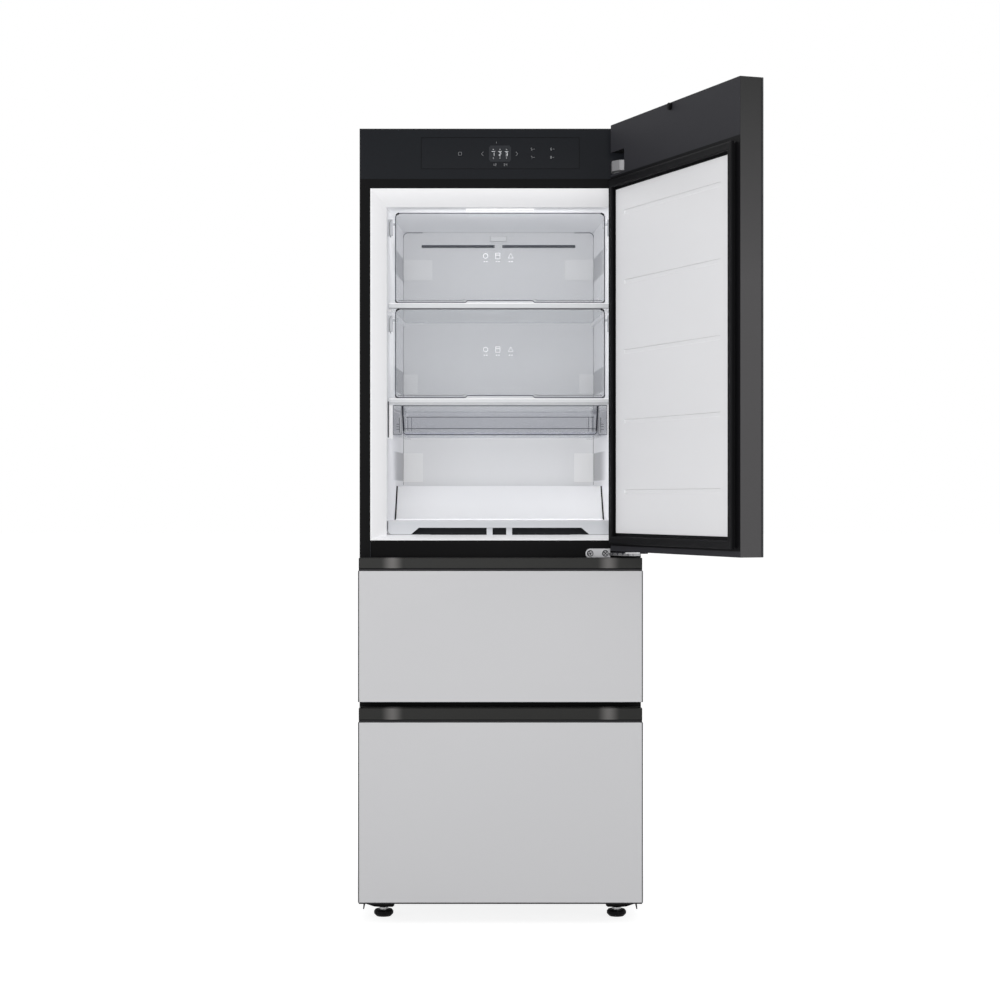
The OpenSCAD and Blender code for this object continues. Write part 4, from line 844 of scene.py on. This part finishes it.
def dress_tray():
    """The clear tray's outline, its side walls' thickness and the ridges moulded across its front."""
    low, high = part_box("clear_tray")
    half = high.x - TRAY_SIDE_INSET
    y, r = TRAY_FACE_Y, TRAY_CORNER_R
    base = low.z + TRAY_FRONT_BASE
    bottom, top = low.z + TRAY_RIM_INSET, high.z - TRAY_RIM_INSET
    rim = [Vector((-half, y, top))]
    rim += arc(-half + TRAY_TAPER + r, bottom + r, r, 180, 270, y, 5)
    rim += arc(half - TRAY_TAPER - r, bottom + r, r, 270, 360, y, 5)
    rim += [Vector((half, y, top))]
    tray_beads("outline", [(rim, True)], DARK_LINE, radius=0.0012)
    wall = [Vector((half - TRAY_WALL_INSET, y, top)),
            Vector((half - TRAY_WALL_INSET - TRAY_TAPER, y, bottom + r))]
    tray_beads("side_walls", mirrored_lines(wall), DEEP_LINE, radius=0.0019)
    ridge = low.y - PROUD
    ridges = ((RIDGE_INSET, ridge, LOW_RIDGE), (RIDGE_INSET, ridge, HIGH_RIDGE),
              (BASE_RIDGE_INSET, TRAY_RIB_Y, LOW_RIDGE))
    lines = []
    for inset, depth, rise in ridges:
        lines.append(open_line((-half + inset, depth, base + rise), (half - inset, depth, base + rise)))
    tray_beads("ridge_lines", lines, DARK_LINE, radius=0.0008)
    # Small upright ribs moulded in each end of the front
    lines = []
    for side in (-1, 1):
        for k in range(2):
            x = side * (half - RIB_INSET - RIB_STEP * k)
            lines.append(open_line((x, TRAY_RIB_Y, base + RIB_FOOT), (x, TRAY_RIB_Y, base + RIB_TOP)))
    tray_beads("ribs", lines, DARK_LINE, radius=0.0006)


RUNNER_INNER_X, RUNNER_RIB_X, RUNNER_STEP_X = 0.2362, 0.2405, 0.2475
RUNNER_RIB_FOOT, RUNNER_RIB_TOP = 0.006, 0.030
RUNNER_STEP_FOOT, RUNNER_STEP_H = 0.014, 0.006
RUNNER_SIDE_INSET, RUNNER_RIM_INSET = 0.0008, 0.001


def dress_runners():
    """The edges of the clear runners, with an upright rib and three steps on each."""
    low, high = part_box("tray_runners")
    y = low.y - PROUD
    foot, top = low.z + RUNNER_RIM_INSET, high.z - RUNNER_RIM_INSET
    lines = []
    for side in (-1, 1):
        inner, outer = side * RUNNER_INNER_X, side * (high.x - RUNNER_SIDE_INSET)
        rib, step = side * RUNNER_RIB_X, side * RUNNER_STEP_X
        lines.append((rectangle(inner, outer, foot, top, y), True))
        lines.append(open_line((rib, y, low.z + RUNNER_RIB_FOOT), (rib, y, high.z - RUNNER_RIB_TOP)))
        for k in range(3):
            z = low.z + RUNNER_STEP_FOOT + RUNNER_STEP_H * k
            lines.append(open_line((rib, y, z), (step, y, z)))
    beads("tray_runner_lines", lines, DARK_LINE, "cabinet", radius=0.0007)


dress_tray()
dress_runners()

# ---------------- compartment's back and floor

DUCT_Y = 0.525
SLOT_INNER_X, SLOT_OUTER_X = 0.008, 0.202
SLOT_FOOT, SLOT_TOP = 0.0415, 0.0295
SLOT_SHADE_FRONT, SLOT_SHADE_BACK = 0.0032, 0.0052
DUCT_CORNER_R = 0.0115
DUCT_JOINT_PROUD = 0.0002
DUCT_JOINT_RUN = 0.050
DUCT_JOINT_FOOT = 1.03
CLIP_LOW_LEFT_PX, CLIP_TOP_RIGHT_PX = (490.3, 241.4), (506.7, 236.0)


def dress_back():
    """Painted shade as a dark sheet behind the air slots, the joint round the duct cover, and its clip's
    rim.
    """
    low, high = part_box("duct_cover")
    half, top = high.x, high.z
    bm = bmesh.new()
    for side in (-1, 1):
        x0, x1 = sorted((side * SLOT_INNER_X, side * SLOT_OUTER_X))
        add_box(bm, (x0, DUCT_Y + SLOT_SHADE_FRONT, top - SLOT_FOOT),
                (x1, DUCT_Y + SLOT_SHADE_BACK, top - SLOT_TOP))
    piece("air_slot_shade", bm, SLOT_DARK, "cabinet")
    r = DUCT_CORNER_R
    y = DUCT_Y - DUCT_JOINT_PROUD
    corners, sides = [], []
    for side, turn in ((-1, 180), (1, 0)):
        end = Vector((side * (half - DUCT_JOINT_RUN), y, top - DUCT_JOINT_PROUD))
        corners.append((arc(side * (half - r), top - r, r, turn, 90, y) + [end], False))
        sides.append(open_line((side * half, y, top - r), (side * half, y, DUCT_JOINT_FOOT)))
    beads("duct_cover_joint", corners, DARK_LINE, "cabinet", radius=0.0009)
    beads("duct_cover_side_joint", sides, MARK_GREY, radius=0.0005)
    clip_y = low.y - PROUD
    a, b = from_photo(*CLIP_LOW_LEFT_PX, clip_y), from_photo(*CLIP_TOP_RIGHT_PX, clip_y)
    rim = (rectangle(a.x, b.x, a.z, b.z, clip_y), True)
    beads("duct_clip_rim", [rim], MARK_GREY, radius=0.0007)


TRIM_HIGHLIGHT_ROWS_PX = (303.4, 398.8)
TRIM_SHADE_ROWS_PX = (308.2, 403.0)
TRIM_INSET = 0.002


def dress_trims():
    """Each shelf's front trim has a painted highlight along its upper edge and a painted grey shade line
    along its lower one.
    """
    low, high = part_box("shelf_trims")
    y = low.y - PROUD

    def painted_lines(rows_px):
        heights = [from_photo(CENTRE_PX, row, y).z for row in rows_px]
        return [open_line((low.x + TRIM_INSET, y, z), (high.x - TRIM_INSET, y, z)) for z in heights]

    beads("trim_upper_highlights", painted_lines(TRIM_HIGHLIGHT_ROWS_PX), PRINT_AND_HIGHLIGHT_WHITE, radius=0.0008)
    beads("trim_lower_shade_lines", painted_lines(TRIM_SHADE_ROWS_PX), MARK_GREY, radius=0.0007)


STEP_FRONT_Y, STEP_BACK_Y = 0.250, 0.310
STEP_TOP = 1.0255
STEP_LEAN = 0.0022
STEP_PROUD = 0.0002
STEP_EDGE_INSET, STEP_EDGE_RISE = 0.001, 0.001


def dress_step():
    """Painted shadow in the dark gaps at the step cover's sides, and a painted highlight along its foot.
    """
    low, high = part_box("rear_step_cover")
    gap = [Vector((high.x + STEP_PROUD, STEP_FRONT_Y, FLOOR_TOP)),
           Vector((high.x - STEP_LEAN, STEP_BACK_Y, STEP_TOP))]
    beads("step_side_gap_shadows", mirrored_lines(gap), SHADOW_BLACK, "cabinet", radius=0.0018)
    half, y, z = high.x - STEP_EDGE_INSET, low.y - STEP_PROUD, FLOOR_TOP + STEP_EDGE_RISE
    foot = open_line((-half, y, z), (half, y, z))
    beads("step_foot_highlight", [foot], PRINT_AND_HIGHLIGHT_WHITE, radius=0.0010)


SKIRT_CORNER_R = 0.010
SKIRT_BEND_START = 0.002
SKIRT_NOTCH_X = 0.166
SKIRT_INSET, SKIRT_TOP_INSET = 0.0008, 0.0012


def dress_skirt():
    """The floor tray's rounded front corners stand out by a painted shadow line round them."""
    low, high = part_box("floor_tray")
    r, y = SKIRT_CORNER_R, low.y - PROUD
    half, bottom = high.x - SKIRT_INSET, low.z + SKIRT_INSET
    bend_top = Vector((half, y, bottom + r + SKIRT_BEND_START))
    sides = mirrored_lines([Vector((half, y, high.z - SKIRT_TOP_INSET)), bend_top])
    beads("floor_tray_side_shadow", sides, DARK_LINE, radius=0.0010)
    bend = arc(half - r, bottom + r, r, 0, -90, y, 6)
    rim = mirrored_lines([bend_top] + bend + [Vector((SKIRT_NOTCH_X, y, bottom))])
    beads("floor_tray_corner_shadow", rim, MARK_GREY, radius=0.0007)


LENS_DROP, LENS_SLOPE = 0.0042, 0.006
LENS_SIDE_INSET, LENS_FRONT, LENS_BACK = 0.001, 0.052, 0.004


def dress_lamp():
    """The lamp's lens hangs below its frame, behind the upper guard's swing, and narrows downwards."""
    low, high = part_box("ceiling_lamp")
    left, right = low.x + LENS_SIDE_INSET, high.x - LENS_SIDE_INSET
    front, back = high.y - LENS_FRONT, high.y - LENS_BACK
    bm = bmesh.new()

    def ring(x0, x1, z):
        corners = ((x0, front), (x1, front), (x1, back), (x0, back))
        return [bm.verts.new((x, y, z)) for x, y in corners]

    top = ring(left, right, low.z)
    foot = ring(left + LENS_SLOPE, right - LENS_SLOPE, low.z - LENS_DROP)
    bm.faces.new(top)
    bm.faces.new(foot)
    join_rings(bm, top, foot)
    piece("lamp_lens", bm, LENS_WHITE, "cabinet")


INSERT_JOINT_X = INSERT_HALF + 0.0008
INSERT_JOINT_TOP = INSERT_TOP - 0.001


def dress_frame():
    """The joint at each end of the insert below the compartment."""
    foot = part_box("middle_handle_strip")[1].z
    ends = [Vector((INSERT_JOINT_X, -PROUD, z)) for z in (INSERT_JOINT_TOP, foot)]
    beads("insert_joints", mirrored_lines(ends), MARK_DIM, "cabinet", radius=0.0007)


STRIP_GAP_RISE, STRIP_GAP_INSET = 0.0007, 0.002


def dress_strips():
    """A painted shadow line under each handle strip, where the panel's upper edge tucks in."""
    for drawer in ("middle", "lower"):
        strip = drawer + "_handle_strip"
        low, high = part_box(strip)
        y, z = low.y - PROUD, low.z + STRIP_GAP_RISE
        gap = open_line((low.x + STRIP_GAP_INSET, y, z), (high.x - STRIP_GAP_INSET, y, z))
        body = nodes[strip]["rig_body"]
        beads(drawer + "_strip_gap_shadow", [gap], SHADOW_BLACK, body, radius=0.0008)


# Where the photograph shows the lower hinge's screws, and the dark marks and highlighted edge of its arm
HINGE_SCREWS_PX = (590.2, 605.4)
HINGE_SCREW_TURNS = (20, 50)
HINGE_SCREW_ROW_PX = 553.4
CROSS_ARM = 0.0048
HINGE_HEAD_R = 0.0066
HINGE_HEAD_DEPTH = 0.0012
ARM_MARK_COLUMNS_PX = (613.5, 616.2, 618.6, 621.4, 624.0)
ARM_MARK_ROWS_PX = (552.0, 555.0)
ARM_MARK_LEANS_PX = (-1.2, 1.6)
ARM_HIGHLIGHT_PX = (625.5, 640.0)
ARM_HIGHLIGHT_ROW_PX = 553.0


def dress_hinge():
    """Painted shade in the lower hinge's screw recesses and round their heads, dark marks on its arm, and
    a painted highlight along the arm's edge.
    """
    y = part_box("hinge_screws")[0].y - PROUD
    recess_shade_lines = []
    for px, turn in zip(HINGE_SCREWS_PX, HINGE_SCREW_TURNS):
        centre = from_photo(px, HINGE_SCREW_ROW_PX, y)
        for angle in (math.radians(turn), math.radians(turn + 90)):
            reach = Vector((math.cos(angle), 0, math.sin(angle))) * CROSS_ARM
            recess_shade_lines.append(([centre - reach, centre + reach], False))
        head = arc(centre.x, centre.z, HINGE_HEAD_R, 0, 360, y + HINGE_HEAD_DEPTH, 20)
        recess_shade_lines.append((head[:-1], True))
    beads("lower_hinge_screw_recess_shade", recess_shade_lines, CORNER_BLACK, "cabinet", radius=0.0009)
    arm_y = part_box("bottom_hinge")[0].y - PROUD
    top_px, foot_px = ARM_MARK_ROWS_PX
    steps = []
    for i, px in enumerate(ARM_MARK_COLUMNS_PX):
        ends = [from_photo(px, top_px, arm_y), from_photo(px + ARM_MARK_LEANS_PX[i % 2], foot_px, arm_y)]
        steps.append((ends, False))
    beads("lower_hinge_arm_marks", steps, DEEP_LINE, "cabinet", radius=0.0009)
    edge = [from_photo(px, ARM_HIGHLIGHT_ROW_PX, arm_y) for px in ARM_HIGHLIGHT_PX]
    beads("lower_hinge_arm_highlight", [(edge, False)], PRINT_AND_HIGHLIGHT_WHITE, "cabinet", radius=0.0013)


dress_back()
dress_trims()
dress_step()
dress_skirt()
dress_lamp()
dress_frame()
dress_strips()
dress_hinge()

# ---------------- control panel's marks

SEGMENTS = {
    "a": ((-1, 2), (1, 2)), "b": ((1, 2), (1, 0)), "c": ((1, 0), (1, -2)), "d": ((-1, -2), (1, -2)),
    "e": ((-1, 0), (-1, -2)), "f": ((-1, 2), (-1, 0)), "g": ((-1, 0), (1, 0)),
}
DIGITS = {
    "1": "bc", "2": "abged", "3": "abgcd", "4": "fgbc",
    "5": "afgcd", "6": "afgecd", "7": "abc", "8": "abcdefg",
}

# Where the photograph shows the panel's marks
CHEVRON_ROW_PX = 153.8
CHEVRONS_PX = ((482.4, 1), (516.9, -1))
LIT_ROW_PX = 153.9
LIT_DIGITS_PX = ((493.3, "1"), (500.0, "2"), (506.6, "3"))
TICK_PX = (496.4, 142.6)
BOX_PX = (460.0, 153.7)
LABELS_PX = (
    ((494.5, 164.7), "12"), ((505.3, 164.7), "34"),
    ((531.6, 149.1), "5"), ((551.2, 149.1), "6"),
    ((531.5, 157.3), "7"), ((551.0, 157.3), "8"),
)
LIT_FIELD_LOW_PX, LIT_FIELD_HIGH_PX = (489, 161.6), (511, 145.5)
LIT_FIELD_FRONT, LIT_FIELD_BACK = -0.00004, 0.0002
LIT_FIELD_R = 0.003

CHEVRON_W, CHEVRON_H = 0.0022, 0.0045
LIT_UNIT, LIT_DROP = 0.0019, 0.0008
# Half length and height of the rules above and below each lit digit
LIT_RULES = ((0.0010, 0.0108), (0.0040, 0.0058), (0.0010, -0.0098))
TICK_H = 0.0018
BOX_HALF = 0.0036
LABEL_UNIT, LABEL_PITCH = 0.0013, 0.0052
DASH_START, DASH_END = 0.0035, 0.0075
MARK_R = 0.00045


def digit(text, cx, cz, unit, y):
    """A digit of lit segments, two units wide and four high."""
    lines = []
    for segment in DIGITS[text]:
        (x0, z0), (x1, z1) = SEGMENTS[segment]
        lines.append(open_line((cx + x0 * unit, y, cz + z0 * unit), (cx + x1 * unit, y, cz + z1 * unit)))
    return lines


def at_panel(px, py):
    return from_photo(px, py, 0.0)


def lit_marks(y):
    """Three digits with short rules above and below them."""
    lines = []
    for px, text in LIT_DIGITS_PX:
        c = at_panel(px, LIT_ROW_PX)
        lines += digit(text, c.x, c.z - LIT_DROP, LIT_UNIT, y)
        for half, rise in LIT_RULES:
            lines.append(open_line((c.x - half, y, c.z + rise), (c.x + half, y, c.z + rise)))
    return lines


def key_marks(y):
    """Chevrons, a tick, a square and small numbers, some with a dash."""
    lines = []
    for px, turn in CHEVRONS_PX:
        c = at_panel(px, CHEVRON_ROW_PX)
        back, tip = c.x + turn * CHEVRON_W, c.x - turn * CHEVRON_W
        lines.append(open_line((back, y, c.z + CHEVRON_H), (tip, y, c.z), (back, y, c.z - CHEVRON_H)))
    c = at_panel(*TICK_PX)
    lines.append(open_line((c.x, y, c.z - TICK_H), (c.x, y, c.z + TICK_H)))
    c = at_panel(*BOX_PX)
    box = rectangle(c.x - BOX_HALF, c.x + BOX_HALF, c.z - BOX_HALF, c.z + BOX_HALF, y)
    lines.append((box, True))
    for (px, py), text in LABELS_PX:
        c = at_panel(px, py)
        for k, character in enumerate(text):
            shift = (k - (len(text) - 1) / 2) * LABEL_PITCH
            lines += digit(character, c.x + shift, c.z, LABEL_UNIT, y)
        if len(text) == 1:
            lines.append(open_line((c.x + DASH_START, y, c.z), (c.x + DASH_END, y, c.z)))
    return lines


def dress_panel():
    y = -PROUD
    beads("panel_marks", key_marks(y), MARK_GREY, radius=MARK_R)
    beads("panel_lit_digits", lit_marks(y), MARK_WHITE, radius=MARK_R)
    low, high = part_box("display_glass")
    joint = (rectangle(low.x, high.x, low.z, high.z, y), True)
    beads("display_joint", [joint], SHADOW_BLACK, "cabinet", radius=0.0006)
    low, high = at_panel(*LIT_FIELD_LOW_PX), at_panel(*LIT_FIELD_HIGH_PX)
    bm = bmesh.new()
    add_box(bm, (low.x, LIT_FIELD_FRONT, low.z), (high.x, LIT_FIELD_BACK, high.z))
    corners = [e for e in bm.edges if e.verts[0].co.y != e.verts[1].co.y]
    bmesh.ops.bevel(bm, geom=corners, offset=LIT_FIELD_R, segments=3, affect="EDGES")
    piece("panel_lit_field", bm, MARK_DIM, "cabinet")


dress_panel()

# ---------------- gaskets

# Across the seal from its outer side, and up from its base: a magnet strip's head on a folded bellows
GASKET_PROFILE = (
    (0.06, 0.0), (0.06, 0.10), (0.20, 0.16), (0.26, 0.28), (0.18, 0.36), (0.04, 0.42), (0.0, 0.50),
    (0.0, 0.88), (0.05, 0.96), (0.16, 1.0), (0.40, 0.985), (0.60, 0.985), (0.84, 1.0), (0.95, 0.96),
    (1.0, 0.88), (1.0, 0.62), (0.94, 0.54), (0.80, 0.50), (0.76, 0.40), (0.84, 0.30), (0.94, 0.22),
    (0.94, 0.0),
)
DOOR_SEAL_HALF = 0.316
DOOR_SEAL_LOW, DOOR_SEAL_HIGH = 0.8885, 1.737
DOOR_SEAL_BASE_Y, DOOR_SEAL_FACE_Y = -0.014, -0.001
DOOR_SEAL_W = 0.018
DRAWER_SEAL_W = 0.016


def gasket(name, node, outer, width, y0, y1, matrix=None):
    """A folded seal in a node's place. outer is (x half, low z, high z) of the ring's outside."""
    half, z0, z1 = outer
    bm = bmesh.new()
    rings = []
    for u, v in GASKET_PROFILE:
        d, y = u * width, y0 + v * (y1 - y0)
        corners = rectangle(d - half, half - d, z0 + d, z1 - d, y)
        rings.append([bm.verts.new(corner) for corner in corners])
    for a, b in zip(rings, rings[1:] + rings[:1]):
        join_rings(bm, a, b)
    obj = piece(name, bm, LOOK["rubber_black"], nodes[node]["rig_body"], matrix)
    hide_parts(node)


gasket("door_seal", "door_gasket", (DOOR_SEAL_HALF, DOOR_SEAL_LOW, DOOR_SEAL_HIGH), DOOR_SEAL_W,
       DOOR_SEAL_BASE_Y, DOOR_SEAL_FACE_Y, AT_DOOR)
for drawer in ("middle", "lower"):
    low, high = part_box(drawer + "_gasket")
    gasket(drawer + "_seal", drawer + "_gasket", (high.x, low.z, high.z), DRAWER_SEAL_W, low.y, high.y)

# ---------------- feet


def lathe(profile, centre, steps):
    """A closed solid turned about a vertical axis. The profile gives radii and heights."""
    bm = bmesh.new()
    turns = [2 * math.pi * i / steps for i in range(steps)]
    rings = []
    for r, z in profile:
        spots = [Vector(centre) + Vector((r * math.cos(a), r * math.sin(a), z)) for a in turns]
        rings.append([bm.verts.new(spot) for spot in spots])
    for a, b in zip(rings, rings[1:]):
        join_rings(bm, a, b)
    bm.faces.new(rings[0])
    bm.faces.new(rings[-1])
    return bm


# Radius and height of a hexagonal nut's chamfered corners
NUT = ((0.0100, 0.0160), (0.0108, 0.0166), (0.0108, 0.0210), (0.0100, 0.0216), (0.0058, 0.0226))
NUT_SIDES = 6
FOOT_X, FOOT_Y = 0.2775, 0.040
for name, x in (("left_foot", -FOOT_X), ("right_foot", FOOT_X)):
    piece(name + "_nut", lathe(NUT, (x, FOOT_Y, 0.0), NUT_SIDES), NUT_ZINC, name)

# ---------------- screws at the back

SCREW_STEPS = 24
SCREW_R, SCREW_H = 0.0055, 0.0022
# Shares of the head's radius, and of its height
CROSS_REACH, CROSS_WIDTH = 0.62, 0.16
HEAD_TOP, HEAD_EDGE, HEAD_EDGE_RISE = 0.8, 0.97, 0.6
CROSS_FLOOR, CROSS_FLOOR_RISE = 0.8, 0.4
CASE_BACK = 0.669
SCREW_TURN = 17


def screw(bm, centre, radius, height, turn):
    """A round head with a cross recess, facing +Y."""
    cross = []
    arm, half = radius * CROSS_REACH, radius * CROSS_WIDTH
    for k in range(4):
        a = math.radians(90 * k + turn)
        along, across = Vector((math.cos(a), 0, math.sin(a))), Vector((-math.sin(a), 0, math.cos(a)))
        cross += [along * arm - across * half, along * arm + across * half, along * half + across * half]
    centre = Vector(centre)
    turns = [2 * math.pi * i / SCREW_STEPS for i in range(SCREW_STEPS)]
    rim = [Vector((radius * math.cos(a), 0, radius * math.sin(a))) for a in turns]

    def ring(points, scale, rise):
        return [bm.verts.new(centre + p * scale + Vector((0, rise, 0))) for p in points]

    base = ring(rim, 1.0, 0.0)
    edge = ring(rim, HEAD_EDGE, height * HEAD_EDGE_RISE)
    top = ring(rim, HEAD_TOP, height)
    join_rings(bm, base, edge)
    join_rings(bm, edge, top)
    upper, lower = ring(cross, 1.0, height), ring(cross, CROSS_FLOOR, height * CROSS_FLOOR_RISE)
    borders = [bm.edges.get((a, b)) for a, b in zip(top, top[1:] + top[:1])]
    borders += [bm.edges.new((a, b)) for a, b in zip(upper, upper[1:] + upper[:1])]
    bmesh.ops.triangle_fill(bm, edges=borders, use_beauty=True)
    join_rings(bm, upper, lower)
    bm.faces.new(lower)
    bm.faces.new(list(reversed(base)))


# Screws down the back panel's sides and along its top, then those of the machine room's cover
PANEL_SCREW_X, PANEL_SCREW_HEIGHTS = 0.322, (0.35, 0.62, 0.95, 1.28, 1.58, 1.84)
TOP_SCREWS_X, TOP_SCREWS_Z = (-0.2, 0.0, 0.2), 1.858
COVER_SCREW_X, COVER_SCREW_HEIGHTS = 0.318, (0.075, 0.26)
COVER_TOP_SCREWS_X, COVER_TOP_SCREWS_Z = (-0.16, 0.0, 0.16), 0.285

bm = bmesh.new()
spots = [(side * PANEL_SCREW_X, z) for side in (-1, 1) for z in PANEL_SCREW_HEIGHTS]
spots += [(x, TOP_SCREWS_Z) for x in TOP_SCREWS_X]
spots += [(side * COVER_SCREW_X, z) for side in (-1, 1) for z in COVER_SCREW_HEIGHTS]
spots += [(x, COVER_TOP_SCREWS_Z) for x in COVER_TOP_SCREWS_X]
for i, (x, z) in enumerate(spots):
    screw(bm, (x, CASE_BACK - PROUD, z), SCREW_R, SCREW_H, SCREW_TURN * i % 90)
piece("back_screws", bm, LOOK["hinge_metal"], "cabinet")
